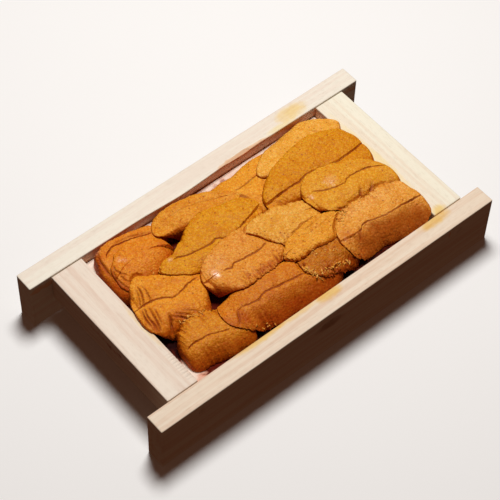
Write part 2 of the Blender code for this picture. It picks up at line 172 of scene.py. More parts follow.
class Paint:
    """Builds the node tree of one material."""

    def __init__(self, name: str) -> None:
        """Start a Principled material.

        Args:
            name: The material's name.
        """
        self.material = bpy.data.materials.new(name)
        self.material.use_nodes = True
        self.tree = self.material.node_tree
        self.shader = self.tree.nodes["Principled BSDF"]
        self._place = self.node("ShaderNodeTexCoord", output="Object")

    def node(self, kind: str, settings: dict | None = None, inputs: dict | None = None,
             output: int | str = 0) -> Term:
        """Add a node.

        Args:
            kind: The node's type.
            settings: Its own settings, which are set first.
            inputs: A value or a term for each of its sockets, by name or number.
            output: The name or number of the socket to return.

        Returns:
            The node's output.
        """
        made = self.tree.nodes.new(kind)
        for key, value in (settings or {}).items():
            setattr(made, key, value)
        for key, value in (inputs or {}).items():
            self._feed(made.inputs[key], value)
        return Term(self, made.outputs[output])

    def _feed(self, socket: bpy.types.NodeSocket, value: object) -> None:
        """Link a term to a socket, or give the socket a number or a colour.

        Args:
            socket: The socket.
            value: The term, number or colour.
        """
        if isinstance(value, Term):
            self.tree.links.new(value.socket, socket)
        elif socket.type == "RGBA":
            socket.default_value = (*value, 1.0)
        else:
            socket.default_value = value

    def set(self, **values: object) -> None:
        """Give the shader's sockets their values or links, with _ for a blank in a name."""
        for key, value in values.items():
            self._feed(self.shader.inputs[key.replace("_", " ")], value)

    def place(self, scale: tuple[float, float, float],
              shift: tuple[float, float, float] = (0.0, 0.0, 0.0)) -> Term:
        """Return the object's coordinates, shifted and scaled."""
        return self.node("ShaderNodeMapping", {"vector_type": "POINT"},
                         {"Vector": self._place, "Location": shift, "Scale": scale})

    def even(self, size: float, shift: tuple[float, float, float] = (0.0, 0.0, 0.0)) -> Term:
        """Return the object's coordinates, shifted and counted in steps of a size in metres."""
        return self.place((1.0 / size,) * 3, shift)

    def axes(self) -> tuple[Term, Term, Term]:
        """Return the three coordinates of the surface, in metres."""
        return tuple(self.node("ShaderNodeSeparateXYZ", None, {0: self._place}, output)
                     for output in range(3))

    def cloud(self, place: Term, detail: float = 3.0, rough: float = 0.55, twist: float = 0.0) -> Term:
        """Return a noise of about 0.2 to 0.8 over scaled coordinates."""
        return self.node("ShaderNodeTexNoise", None, {"Vector": place, "Scale": 1.0, "Detail": detail,
                                                      "Roughness": rough, "Distortion": twist})

    def attribute(self, name: str) -> Term:
        """Return a value that the mesh carries."""
        return self.node("ShaderNodeAttribute", {"attribute_name": name}, output="Fac")

    def mix(self, factor: object, first: object, second: object, blend: str = "MIX") -> Term:
        """Mix two colours.

        Args:
            factor: How much of the second there is.
            first, second: A colour or a term each.
            blend: The way to mix.

        Returns:
            The mixed colour.
        """
        return self.node("ShaderNodeMix", {"data_type": "RGBA", "blend_type": blend, "clamp_factor": True},
                         {0: factor, 6: first, 7: second}, output=2)

    def bump(self, height: Term, distance: float, strength: float = 1.0) -> None:
        """Dent the shading.

        Args:
            height: The height, from 0 to 1.
            distance: The depth that it stands for, in metres.
            strength: How strong the dents are.
        """
        dent = self.node("ShaderNodeBump", None,
                         {"Height": height, "Distance": distance, "Strength": strength}, "Normal")
        self.set(Normal=dent)


@dataclass(frozen=True)
class StainAndShade:
    """A patch of colour on a board. Some are dried roe juice or a knot; the rest are painted shade and
    painted bounce light from the roe.

    Attributes:
        centre: Its middle, in millimetres.
        reach: Its half sizes along X, Y and Z, in millimetres.
        colour: The colour that it gives the wood.
        strength: How strong it is in its middle.
        full: How far it keeps that strength, from 0 to 1.
    """

    centre: tuple[float, float, float]
    reach: tuple[float, float, float]
    colour: Colour
    strength: float
    full: float = 0.0


JUICE = tone(253, 228, 152)
JUICE_PALE = tone(255, 242, 196)
KNOT = tone(196, 168, 140)
# Painted shade: the dark brown of the floor in the gaps between the roe and the rails.
GAP_SHADE = tone(104, 40, 18)
# Painted bounce light: a warm tint from the orange roe on the inner faces of the rails.
WALL_BOUNCE = tone(255, 220, 192)
# A pinkish tint on the floor under the roe: painted bounce light from the roe, partly juice staining.
BLUSH_BOUNCE = tone(232, 158, 124)

STAINS_AND_SHADE = (
    StainAndShade((52.5, 41.2, 26.0), (9.0, 4.2, 3.0), JUICE, 0.8),
    StainAndShade((44.0, 37.8, 26.0), (9.0, 2.0, 3.0), JUICE_PALE, 0.8),
    StainAndShade((3.5, -38.4, 26.0), (7.5, 3.0, 2.0), JUICE, 1.0),
    StainAndShade((-31.0, -37.3, 26.0), (16.0, 2.2, 2.0), JUICE, 1.0),
    StainAndShade((-12.0, -37.3, 26.0), (17.0, 2.0, 2.0), JUICE, 0.7),
    StainAndShade((60.0, -38.4, 26.0), (9.5, 2.9, 2.0), JUICE, 1.0),
    StainAndShade((65.5, -35.4, 26.0), (4.2, 3.0, 2.0), JUICE, 0.9),
    StainAndShade((64.2, 2.0, 26.0), (2.4, 30.0, 2.0), JUICE_PALE, 0.8),
    StainAndShade((-62.0, -4.0, 26.0), (1.6, 14.0, 2.0), JUICE_PALE, 0.7),
    StainAndShade((22.0, 37.2, 25.4), (16.0, 1.4, 1.4), tone(246, 206, 172), 0.9, 0.5),
    # Painted bounce light from the roe on the inner faces of the back rail and the right end rail, which
    # also darkens them a little.
    StainAndShade((0.0, 36.9, 22.3), (90.0, 0.9, 3.2), WALL_BOUNCE, 0.9, 0.8),
    StainAndShade((62.2, 0.0, 22.3), (0.9, 60.0, 3.2), WALL_BOUNCE, 0.9, 0.8),
    StainAndShade((-2.0, -45.9, 19.0), (8.0, 3.0, 3.2), KNOT, 0.8),
    # Pinkish floor under and beside the roe: painted bounce light from the roe, partly juice staining.
    StainAndShade((3.0, -3.5, 20.5), (82.0, 39.0, 4.0), BLUSH_BOUNCE, 0.9, 0.5),
    StainAndShade((-38.0, -35.0, 20.5), (24.0, 6.0, 4.0), BLUSH_BOUNCE, 0.8, 0.5),
    # Painted shade on the floor in the gaps under the roe and by the rails.
    StainAndShade((3.0, -3.5, 20.5), (75.0, 35.5, 4.0), GAP_SHADE, 1.0, 0.75),
    StainAndShade((-36.0, -33.0, 20.5), (19.5, 6.5, 4.0), GAP_SHADE, 1.0, 0.8),
    StainAndShade((38.0, -34.0, 20.5), (25.0, 6.0, 4.0), GAP_SHADE, 1.0, 0.7),
    StainAndShade((-56.0, -14.0, 20.5), (8.0, 8.5, 4.0), GAP_SHADE, 1.0, 0.7),
)


@dataclass(frozen=True)
class BoardFinish:
    """Bare planed softwood.

    Attributes:
        name: The material's name.
        grain: The direction of the grain.
        pale: The colour of the early wood.
        line: The colour of the growth lines.
        shift: Where the board was cut, so that no two look alike.
        shine: How much it reflects.
        ring_length, ring_width: The usual length and width of a growth line, in metres.
        stains_and_shade: Its stains and knot, and the shade and bounce light painted on it.
    """

    name: str
    grain: Axis
    pale: Colour
    line: Colour
    shift: tuple[float, float, float]
    shine: float = 0.35
    ring_length: float = 70.0 * MM
    ring_width: float = 2.3 * MM
    stains_and_shade: tuple[StainAndShade, ...] = STAINS_AND_SHADE

    def build(self) -> bpy.types.Material:
        """Make the material.

        Returns:
            The material.
        """
        paint = Paint(self.name)
        along, across = 1.0 / self.ring_length, 1.0 / self.ring_width
        scale = (along, across, across) if self.grain is Axis.X else (across, along, across)
        wide = tuple(0.22 * part for part in scale)
        fine = tuple(12.0 * part if part == across else 9.0 * part for part in scale)
        tiny = tuple(2.0 * part for part in fine)
        growth = paint.cloud(paint.place(scale, self.shift), 3.0, 0.5, 0.35).ease(0.42, 0.66)
        broad = paint.cloud(paint.place(wide, self.shift), 2.0).ease(0.35, 0.7)
        fibre = paint.cloud(paint.place(fine, self.shift), 2.0, 0.6)
        pores = paint.cloud(paint.place(tiny, self.shift), 1.0).ease(0.62, 0.75)
        colour = paint.mix(growth * 0.75, self.pale, self.line)
        colour = paint.mix(broad * 0.35, colour, self.line)
        colour = paint.mix(pores * 0.30, colour, tone(206, 172, 142))
        colour = paint.mix(fibre.ease(0.3, 0.7) * 0.14, colour, tone(252, 246, 234))
        colour = self.stain_and_shade(paint, colour)
        roughness = 0.58 + (fibre - 0.5) * 0.25
        paint.set(Base_Color=colour, Roughness=roughness, Specular_IOR_Level=self.shine)
        paint.bump(fibre * 0.6 + growth * 0.25 + pores * -0.4, 0.09 * MM, 0.8)
        return paint.material

    def stain_and_shade(self, paint: Paint, colour: Term) -> Term:
        """Lay the stains, the painted shade and the painted bounce light on the wood, each in a wavy oval.

        Args:
            paint: The material.
            colour: The clean wood.

        Returns:
            The wood with its stains, painted shade and painted bounce light.
        """
        axes = paint.axes()
        wander = paint.cloud(paint.even(3.0 * MM), 3.0) - 0.5
        for stain_and_shade in self.stains_and_shade:
            x, y, z = (((axis - middle * MM) / (reach * MM)) ** 2.0
                       for axis, middle, reach in zip(axes, stain_and_shade.centre, stain_and_shade.reach))
            mask = 1.0 - (x + y + z + wander * 1.1).ease(stain_and_shade.full, 1.15)
            colour = paint.mix(mask * stain_and_shade.strength, colour, stain_and_shade.colour, "MULTIPLY")
        return colour


@dataclass(frozen=True)
class RoeFinish:
    """Moist, finely grained sea urchin roe.

    Attributes:
        name: The material's name.
        flesh: Its usual colour.
        pale: The colour of its paler patches.
        deep: The colour of its deeper patches.
        patch: How far the patches stand out.
        seed: Shifts the pattern.
        patch_size, mottle_size, grain_size, speck_size: How large its marks are, in metres.
    """

    name: str
    flesh: Colour
    pale: Colour
    deep: Colour
    patch: float = 0.6
    seed: float = 0.0
    patch_size: float = 5.5 * MM
    mottle_size: float = 1.5 * MM
    grain_size: float = 0.76 * MM
    speck_size: float = 2.4 * MM

    def build(self) -> bpy.types.Material:
        """Make the material.

        Returns:
            The material.
        """
        paint = Paint(self.name)
        shift = (self.seed, -2.0 * self.seed, 0.7 * self.seed)
        patches = paint.cloud(paint.even(self.patch_size, shift), 3.0, 0.6)
        mottle = paint.cloud(paint.even(self.mottle_size, shift), 3.0, 0.65)
        grains = paint.even(self.grain_size, shift)
        distance = paint.node("ShaderNodeTexVoronoi", {"feature": "SMOOTH_F1"},
                              {"Vector": grains, "Scale": 1.0, "Smoothness": 0.3}, "Distance")
        kind = paint.node("ShaderNodeTexVoronoi", {"feature": "F1"}, {"Vector": grains, "Scale": 1.0},
                          "Color")
        kind = paint.node("ShaderNodeSeparateColor", None, {"Color": kind})
        specks = paint.node("ShaderNodeTexVoronoi", {"feature": "F1"},
                            {"Vector": paint.even(self.speck_size, shift), "Scale": 1.0}, "Distance")
        furrow, frill, painted_shade, wet_and_sheen, painted_light = (paint.attribute(name) for name in MARKS)
        # Painted light: paler where light falls.
        colour = paint.mix(painted_light, self.flesh, self.pale)
        colour = paint.mix(patches.ease(0.50, 0.72) * self.patch, colour, self.pale)
        colour = paint.mix((1.0 - patches.ease(0.30, 0.48)) * self.patch, colour, self.deep)
        colour = paint.mix(mottle.ease(0.48, 0.68) * 0.5, colour, self.deep)
        colour = paint.mix(distance.ease(0.35, 0.72) * 0.55, colour, self.deep)
        colour = paint.mix(kind.ease(0.65, 1.0) * 0.55, colour, self.pale)
        colour = paint.mix((1.0 - kind.ease(0.0, 0.25)) * 0.5, colour, self.deep)
        colour = paint.mix((1.0 - specks.ease(0.10, 0.20)) * 0.6, colour, tone(150, 62, 14))
        # Painted sheen: paler where it is moist.
        colour = paint.mix(wet_and_sheen * 0.40, colour, tone(238, 184, 140))
        # Painted shade where the roe faces away from the lamp and in the painted shade spots.
        colour = paint.mix(painted_shade * 0.85, colour, tone(206, 142, 84), "MULTIPLY")
        # Painted shade in the dents between the ragged strands and around the folds.
        colour = paint.mix(frill * 0.8, colour, tone(160, 58, 10))
        # Painted shade: dark lines along the crease and the folds.
        colour = paint.mix(furrow * 0.85, colour, tone(126, 42, 6))
        roughness = 0.52 + (mottle - 0.5) * 0.3 - wet_and_sheen * 0.28
        paint.set(Base_Color=colour, Roughness=roughness, Subsurface_Weight=0.2,
                  Subsurface_Radius=(1.0, 0.35, 0.10), Subsurface_Scale=1.5 * MM, IOR=1.36,
                  Specular_IOR_Level=0.2, Coat_Weight=0.03 + wet_and_sheen * 0.9, Coat_Roughness=0.27, Coat_IOR=1.4)
        paint.bump((1.0 - distance + mottle * 0.7) * (1.0 - wet_and_sheen * 0.8) * (1.0 - painted_shade * 0.5), 0.28 * MM)
        return paint.material


@dataclass(frozen=True)
class Wrinkle:
    """A short fold in a tongue, drawn from above in millimetres.

    Attributes:
        path: The points that it passes.
        width: Its half width.
        depth: Its depth.
        red: How strong its painted shade is, along it and around it, from 0 to 1.
    """

    path: tuple[Plan, ...]
    width: float = 0.45
    depth: float = 0.45
    red: float = 0.7


@dataclass(frozen=True)
class Tongue:
    """One tongue of roe, drawn from above in millimetres.

    Attributes:
        name: The node that it replaces.
        slot: The record's slot of its finish; not used.
        left, right: Its two tips.
        back, front: The points that its edge passes on the side of the back and of the front rail.
        furrow: Those that its crease passes, all from left to right.
        top: The height of its crown.
        tilt: How much the crown rises per millimetre along X and Y.
        fall_back, fall_front: Two exponents each, which say how roundly the crown drops there.
        crease: The depth of the crease.
        ends: How blunt each tip is, where a small number is blunt.
        over: The end rails that the edge lies on.
        frills: Ragged stretches of the edge: the side, where each starts and ends, and its depth.
        colour: Its flesh, as a screen shows it.
        open_ends: Whether the crease runs out over the left and over the right tip.
        wrinkles: Its folds.
        wet_and_sheen_spots: Its moist swellings, which also get a paler painted sheen, each as X, Y, radius,
            height and moistness.
        painted_shade_spots, painted_light: Where shade and light are painted on it, each as X, Y, half sizes
            and strength.
        lumps: How lumpy it is, where 1 is usual.
        lift: How far its edge stands off what it lies on.
    """

    name: str
    slot: Slot
    left: Plan
    right: Plan
    back: tuple[Plan, ...]
    front: tuple[Plan, ...]
    furrow: tuple[Plan, ...]
    top: float
    tilt: Plan = (0.0, 0.0)
    fall_back: Plan = (5.0, 0.6)
    fall_front: Plan = (4.5, 0.55)
    crease: float = 0.8
    ends: Plan = (0.4, 0.4)
    over: tuple[str, ...] = ()
    frills: tuple[tuple[str, float, float, float], ...] = ()
    colour: Colour = (232.0, 150.0, 58.0)
    open_ends: tuple[bool, bool] = (False, False)
    wrinkles: tuple[Wrinkle, ...] = ()
    wet_and_sheen_spots: tuple[Spot, ...] = ()
    painted_shade_spots: tuple[Spot, ...] = ()
    painted_light: tuple[Spot, ...] = ()
    lumps: float = 1.0
    lift: float = 0.28


TONGUES = (
    Tongue("roe_back_left", Slot.DEEP, (-60.5, 19), (-24, 26.5),
        back=((-60, 27), (-58, 32.2), (-54.5, 35.8), (-50.5, 36.5), (-44.5, 36.3), (-37.5, 35.2),
            (-31, 33.8)),
        front=((-60.2, 12), (-56, 8.5), (-47, 8.5), (-39, 13), (-33.6, 21.5)),
        furrow=((-54, 29.2), (-51, 31.2), (-47.7, 31.6), (-39.5, 30), (-32.7, 28)),
        top=28, tilt=(-0.03, 0.02), frills=(("back", 0.2, 0.5, 0.25),), colour=(226, 138, 34),
        wrinkles=(Wrinkle(((-55.5, 33), (-57, 29.5), (-57.6, 25), (-57.9, 21)), 0.5, 0.4, 0.9),
            Wrinkle(((-47.7, 32.5), (-42.3, 31.8), (-38, 30.4), (-32.5, 28.6)), 0.4, 0.3, 0.4)),
        wet_and_sheen_spots=((-55.4, 33.6, 1.6, 0.3, 0.6),), painted_shade_spots=((-59.5, 15, 3.5, 10, 1), (-58.5, 26, 2.5, 5, 0.5))),
    Tongue("roe_back_middle", Slot.ORANGE, (-5, 26), (36, 27),
        back=((-1, 31.2), (4, 32.2), (11.5, 31.9), (16.5, 33.1), (21.5, 33.7), (27, 33.6), (33, 32.6)),
        front=((-1, 16.5), (5, 9), (12.5, 5), (20, 8), (31, 16)),
        furrow=((7.9, 23.1), (10.9, 22.9), (15.1, 23.5), (19.4, 24), (23.4, 24.6)),
        top=27.4, crease=0.5, colour=(234, 158, 44),
        wrinkles=(Wrinkle(((5, 21.5), (7.5, 19), (9, 16)), 0.5, 0.4, 0.7),),
        painted_light=((6, 18.5, 7, 6, 0.6),)),
    Tongue("roe_back_inner_left", Slot.DEEP, (-57.8, 18), (-29.4, 17.2),
        back=((-57, 22.4), (-54, 25.8), (-50.3, 28.2), (-44.3, 29.2), (-38.5, 27), (-33.4, 24.8),
            (-30.6, 21.6)),
        front=((-57.6, 13.5), (-54, 10), (-45, 8.5), (-37, 10.5), (-31.6, 13.8)),
        furrow=((-52, 20.5), (-44, 21), (-36, 20.5)),
        top=29.3, tilt=(0, 0.06), fall_front=(2, 0.6), crease=0, colour=(228, 138, 28),
        wrinkles=(Wrinkle(((-54.9, 24), (-55.6, 21.3), (-54.8, 19.2), (-53.4, 17.3)), 0.4, 0.4, 0.7),
            Wrinkle(((-55.9, 22.7), (-57.2, 19.3), (-57.2, 15.6), (-55.9, 12)), 0.4, 0.4, 0.7),
            Wrinkle(((-55.2, 18.8), (-55.3, 16.4), (-54.4, 14.6)), 0.35, 0.35, 0.6)),
        wet_and_sheen_spots=((-51.5, 24.6, 1.6, 0.16, 0.4), (-50, 23, 1.4, 0.14, 0.3)), ends=(0.5, 0.75),
        painted_shade_spots=((-50, 12, 10, 4.5, 0.8), (-33, 18, 4, 6, 0.6))),
    Tongue("roe_back_centre", Slot.ORANGE, (-32.8, 26.5), (7, 21),
        back=((-31.2, 30), (-28.6, 33), (-24.5, 35.4), (-13.2, 35.2), (-6.3, 33.7), (-0.7, 29.9),
            (3.5, 25.8)),
        front=((-31.6, 23.9), (-28, 22.8), (-22, 20.9), (-12, 17.5), (2, 16.5)),
        furrow=((-25, 29.3), (-12, 28.3), (0, 24)),
        top=28.4, fall_front=(9, 0.5), crease=0.15, colour=(226, 148, 40)),
    Tongue("roe_mid_left", Slot.ORANGE, (-61.2, 2.2), (-27.5, -2.5),
        back=((-60, 6.2), (-56.9, 11.2), (-53.2, 14.2), (-50.5, 14.6), (-46.5, 12.2), (-41.5, 10.2),
            (-34, 8)),
        front=((-62, -2), (-62.2, -6.5), (-61, -9.8), (-57.8, -13.2), (-52, -15), (-44, -16.5),
            (-37.6, -16.5), (-34.8, -12.8), (-32.6, -8)),
        furrow=((-55.9, 2.2), (-52.1, 1.5), (-49.3, 0.4), (-45.7, -2.2), (-43.2, -2.4), (-37.3, -0.9),
            (-32.6, -0.6)),
        top=28.3, tilt=(0.02, 0.02), over=("left",), frills=(("front", 0.35, 1, 0.5),),
        colour=(232, 150, 36), open_ends=(True, False),
        wrinkles=(Wrinkle(((-53.5, 10.3), (-53.6, 8.6), (-54.2, 6.6), (-55.4, 4.2),
            (-56.8, 1.6)), 0.3, 0.45, 0.9),
            Wrinkle(((-51.8, 9.6), (-52, 6.6), (-52.8, 3.4), (-53.6, 1.2)), 0.28, 0.35, 0.7),
            Wrinkle(((-54.9, 10), (-55.4, 7.4), (-56.8, 4.6), (-58.2, 2.4)), 0.28, 0.3, 0.6),
            Wrinkle(((-57.5, 0.7), (-58.7, -3.2), (-58.9, -7), (-59.3, -9.7)), 0.35, 0.6, 1),
            Wrinkle(((-55.7, 0.1), (-56.7, -4.3), (-57.5, -8), (-58.2, -10.5)), 0.35, 0.6, 1),
            Wrinkle(((-58.6, 0.6), (-60, -3), (-60.4, -7)), 0.3, 0.5, 1),
            Wrinkle(((-54.4, -1.6), (-55.2, -5), (-56.2, -8.6)), 0.3, 0.4, 0.8),
            Wrinkle(((-51.7, -7.1), (-52.5, -9.5), (-54.9, -13.3)), 0.5, 1, 1),
            Wrinkle(((-51.2, -8.6), (-48.8, -10.8), (-46.8, -13.2), (-45.5, -15)), 0.45, 0.6, 1),
            Wrinkle(((-49.6, -8.4), (-47.4, -10.4), (-44.8, -12.6)), 0.4, 0.45, 0.8),
            Wrinkle(((-46.6, -8.8), (-43.6, -11.2), (-41, -13.2)), 0.35, 0.35, 0.6)),
        painted_shade_spots=((-50, -9.5, 12, 5, 0.5), (-59.5, -9, 2.5, 6, 0.8))),
    Tongue("roe_long_centre", Slot.OCHRE, (-42.5, 9.8), (10, 11.5),
        back=((-41.4, 12), (-38.2, 13.9), (-32, 15), (-26.3, 18.2), (-20, 21.3), (-12, 22.9), (-5, 21.3),
            (3.5, 19.4), (8.4, 16.3)),
        front=((-40.8, 7), (-37.2, 4.2), (-31, 0.8), (-20, 0.5), (-5, 3), (7, 6)),
        furrow=((-34.4, 11.2), (-30.3, 10), (-25.9, 8.8), (-18.7, 8), (-15.3, 8.4), (-10.5, 6), (0, 8)),
        top=29.3, tilt=(0, 0.03), frills=(("back", 0.85, 1, 0.3),), colour=(222, 148, 20),
        wet_and_sheen_spots=((-35.7, 12.1, 1.3, 0.25, 0.8),)),
    Tongue("roe_back_right", Slot.ORANGE, (18.5, 23), (63.4, 24.5),
        back=((20.5, 26), (25, 29.2), (31, 32.2), (38, 34.3), (45, 35.4), (50.5, 36.5), (55.5, 34.6),
            (60, 29.8)),
        front=((20.5, 20), (28, 17.5), (40, 15.5), (54, 16), (62, 20.5)),
        furrow=((27, 25), (40, 26), (55, 26)),
        top=29, tilt=(0, -0.08), crease=0, ends=(0.4, 0.25), over=("right",), colour=(238, 172, 76),
        wrinkles=(Wrinkle(((50.8, 27), (52, 25), (52.4, 22.8)), 0.35, 0.25, 0.3),)),
    Tongue("roe_long_right", Slot.OCHRE, (11.5, 9.4), (63.2, 8.5),
        back=((12.4, 12.7), (16.1, 16.5), (20.5, 19.6), (27.4, 22.3), (38.4, 24.6), (46, 25.4),
            (53.5, 23.6), (60.5, 20.5), (63.4, 14.5)),
        front=((12.5, 5.4), (21, 2), (34, -1), (48, -3.6), (59, -3), (63.2, 2.5)),
        furrow=((16.9, 9.4), (23.4, 9.4), (29, 9.1), (32.4, 10.1), (38, 9.5), (45.8, 7.5), (55.8, 7.6)),
        top=29.7, tilt=(0, 0.05), ends=(0.4, 0.2), over=("right",), colour=(218, 142, 12),
        painted_light=((36, 22.5, 26, 4.5, 0.8), (16, 13, 3, 6, 0.5)), open_ends=(False, True)),
    Tongue("roe_front_left", Slot.ORANGE, (-57.9, -25), (-26, -26),
        back=((-57.3, -20), (-54.5, -15.6), (-50, -13.6), (-44, -13.3), (-36, -15.5), (-30, -19)),
        front=((-58, -29.5), (-55.8, -32), (-50.1, -32.6), (-44, -34.6), (-38, -35.6), (-30, -34.5)),
        furrow=((-55.6, -23.8), (-53, -23.2), (-49.2, -23.8), (-45.3, -24.4), (-38.1, -27.1)),
        top=27.9, fall_front=(1.7, 0.6), crease=0.6, frills=(("back", 0.1, 0.75, 0.45),),
        colour=(218, 138, 26), painted_shade_spots=((-57.5, -22, 2.5, 8, 0.7),)),
    Tongue("roe_front_middle", Slot.DEEP, (-37.2, -21.5), (17, -31.5),
        back=((-35.6, -16.9), (-31.7, -14.6), (-26, -12.6), (-18, -11), (-8, -11.4), (0, -13.4), (8, -17.5),
            (14, -23.5)),
        front=((-36.8, -26), (-34, -29.8), (-30, -32.3), (-25.5, -33.7), (-20, -34.5), (-12, -35.2),
            (-4, -35.9), (4, -36.2), (11.5, -35.6)),
        furrow=((-30.4, -22.9), (-27.8, -22.7), (-21.6, -24.2), (-16.3, -23.2), (-9.9, -24.4),
            (-3.8, -25.4), (3, -26.3)),
        top=29.1, fall_front=(1.4, 0.7), frills=(("front", 0.16, 0.4, 0.6),), colour=(214, 128, 28),
        wrinkles=(Wrinkle(((-33.9, -28.2), (-32.6, -27.2), (-31.5, -25), (-30.2, -22.9)), 0.5, 0.5, 0.7),),
        painted_shade_spots=((-29.4, -27, 3.6, 5, 0.85), (-36.2, -26.8, 2, 3, 0.6), (-14, -31, 24, 4, 0.4)), lift=0.45),
    Tongue("roe_centre", Slot.ORANGE, (-32.7, -5), (7, -6),
        back=((-31.6, -1.6), (-28, 2.2), (-22, 4.6), (-16, 6.2), (-9, 6.6), (-2, 6), (4.5, 0.5)),
        front=((-31.8, -8.9), (-28, -13.2), (-23.5, -16.1), (-18, -17.4), (-11, -17.2), (-4, -16.6),
            (2.8, -14)),
        furrow=((-22.8, -6), (-19.8, -6.7), (-17, -5.7), (-7.1, -6.9), (-1.8, -6.1)),
        top=30, frills=(("front", 0.36, 1, 0.9),), colour=(228, 150, 56), wet_and_sheen_spots=((-26.5, -4.9, 2.6, 0.4, 1),
            (-24.5, -1.8, 6, 0, 0.12)), painted_light=((-22, 0, 9, 6, 0.8), (-8, 2, 10, 4, 0.5)),
        painted_shade_spots=((-9, -15, 12, 2.4, 0.7),), lift=0.5),
    Tongue("roe_front_ragged", Slot.OCHRE, (2, -24.5), (27, -27),
        back=((4, -18), (11, -15), (19, -15), (26, -19)),
        front=((3.5, -28.5), (7, -31.5), (11.5, -33), (18, -33.8), (24.5, -32.8)),
        furrow=((7, -24.5), (14, -25), (21, -25.5)),
        top=28.7, fall_front=(1.7, 0.6), crease=0, frills=(("front", 0, 1, 0.8), ("back", 0, 0.3, 0.6)),
        colour=(194, 116, 20), wet_and_sheen_spots=((24.6, -31.6, 1, 0.3, 0.8), (3.6, -25.2, 0.9, 0.25, 0.8)), lumps=3.6,
        wrinkles=(Wrinkle(((12.4, -32.6), (13, -32), (13.6, -31.2)), 0.5, 0.9, 1),
            Wrinkle(((6.2, -31.4), (6.8, -30.6), (7.2, -29.8)), 0.45, 0.8, 1),
            Wrinkle(((10.2, -30.6), (10.8, -29.8), (11.6, -29.4)), 0.4, 0.6, 0.9),
            Wrinkle(((3.4, -23.6), (3.9, -22.8), (4.6, -22.4)), 0.4, 0.7, 1)),
        painted_shade_spots=((14, -30, 12, 5, 0.35),)),
    Tongue("roe_centre_right", Slot.PALE, (-4.4, 2.8), (30, -4.5),
        back=((-2, 5.3), (2, 6.8), (8, 7.5), (13.5, 6.4), (19.7, 4.1), (26.5, 0.5)),
        front=((-3.2, 1.2), (-1.4, -1.8), (-0.2, -4.6), (1.9, -8.4), (5.5, -12.2), (13, -14), (23, -12)),
        furrow=((5, 0.5), (14, -1.5), (23, -4)),
        top=30, crease=0, frills=(("back", 0.1, 0.9, 0.35), ("front", 0.3, 0.6, 0.6)),
        colour=(232, 166, 70), lumps=1.4),
    Tongue("roe_inner_right", Slot.PALE, (-0.5, -15.5), (35, -13),
        back=((2.6, -12.3), (6.6, -10), (12, -8.7), (20, -8.2), (29, -9.2)),
        front=((0.2, -18), (3.2, -20.3), (9, -20.5), (15, -20.6), (22, -21.4), (30, -18)),
        furrow=((8, -14.8), (16, -14.5), (26, -13.5)),
        top=30.4, crease=0, frills=(("back", 0, 1, 0.15), ("front", 0, 0.25, 0.7)), colour=(232, 158, 50),
        wrinkles=(Wrinkle(((14, -11.4), (18, -11), (23, -10.2)), 0.35, 0.22, 0.15),
            Wrinkle(((20, -13.4), (25, -12.6), (31, -11.8)), 0.35, 0.22, 0.15)),
        lumps=1.6),
    Tongue("roe_mid_right", Slot.PALE, (23.9, -0.2), (62.8, -8),
        back=((25.4, 4.2), (28.2, 7), (31.2, 8.7), (36, 9.3), (43, 8.4), (48, 6.4), (55, 3.2), (60, -2)),
        front=((24.3, -3.6), (25.8, -7), (29, -10.6), (34, -13.2), (41, -16), (50, -17), (61.5, -17.5)),
        furrow=((29.4, 0.9), (32.3, -0.8), (36.3, -2.5), (42.1, -3.7), (44.7, -2.5), (50.9, -2.6), (56, -4)),
        top=30.8, ends=(0.4, 0.2), over=("right",), crease=0.6, colour=(226, 156, 40),
        wrinkles=(Wrinkle(((45.4, -9.8), (43.6, -11.8), (42.8, -13.6)), 0.5, 0.6, 0.9),
            Wrinkle(((51.2, -10.4), (49.2, -12.2), (47.6, -13.2)), 0.45, 0.5, 0.8),
            Wrinkle(((31.2, -10.8), (33, -12), (35.6, -12.6)), 0.4, 0.5, 0.8)),
        wet_and_sheen_spots=((27, -0.6, 1.6, 0.2, 0.6), (38.5, 0.8, 3.4, 0.1, 0.4)), lift=0.42),
    Tongue("roe_front_right", Slot.ORANGE, (21.9, -24), (63.6, -27),
        back=((23.6, -19.5), (27.5, -15.6), (32, -13), (38.9, -12.3), (45, -13.5), (52, -12.6), (57, -14.4),
            (62, -17.5)),
        front=((22.6, -28.5), (24.6, -32.4), (29, -33.4), (34, -33.3), (38.7, -32.7), (44, -34.3),
            (52, -35.4), (60, -35.6), (63.4, -32.5)),
        furrow=((31.4, -25.2), (33.8, -23.7), (37.4, -23.8), (44.5, -25.8), (52.6, -26.1), (58, -26.8)),
        top=30.2, fall_front=(1.2, 0.75), ends=(0.4, 0.2), over=("right",), crease=0.7,
        frills=(("front", 0, 0.25, 0.7), ("back", 0.25, 0.8, 0.35)), colour=(232, 160, 70),
        open_ends=(False, True),
        wrinkles=(Wrinkle(((29.5, -27.8), (30.6, -26.4), (31.4, -25.2), (32, -23.6)), 0.4, 0.4, 0.6),),
        wet_and_sheen_spots=((24.4, -24.6, 1, 0.2, 0.6),), painted_shade_spots=((26, -25, 5, 6, 0.5), (35, -28.3, 9, 4, 0.85),
            (44, -29, 14, 3.5, 0.5)), painted_light=((42, -16.5, 18, 4, 0.7),)),
)


def smooth_path(points: tuple[Plan, ...], closed: bool = False) -> np.ndarray:
    """Draw a smooth curve through points.

    Args:
        points: The points, in millimetres.
        closed: Whether the curve returns to its start.

    Returns:
        The curve's points.
    """
    spots = np.array(points, float)
    if closed:
        padded = np.vstack([spots[-1], spots, spots[:2]])
    else:
        padded = np.vstack([2 * spots[0] - spots[1], spots, 2 * spots[-1] - spots[-2]])
    part = np.arange(STEPS)[:, None] / STEPS
    pieces = []
    for before, start, end, after in zip(padded[:-3], padded[1:-2], padded[2:-1], padded[3:]):
        pieces.append(0.5 * (2 * start + (end - before) * part
                             + (2 * before - 5 * start + 4 * end - after) * part ** 2
                             + (3 * start - before - 3 * end + after) * part ** 3))
    pieces.append(spots[:1] if closed else spots[-1:])
    return np.vstack(pieces)


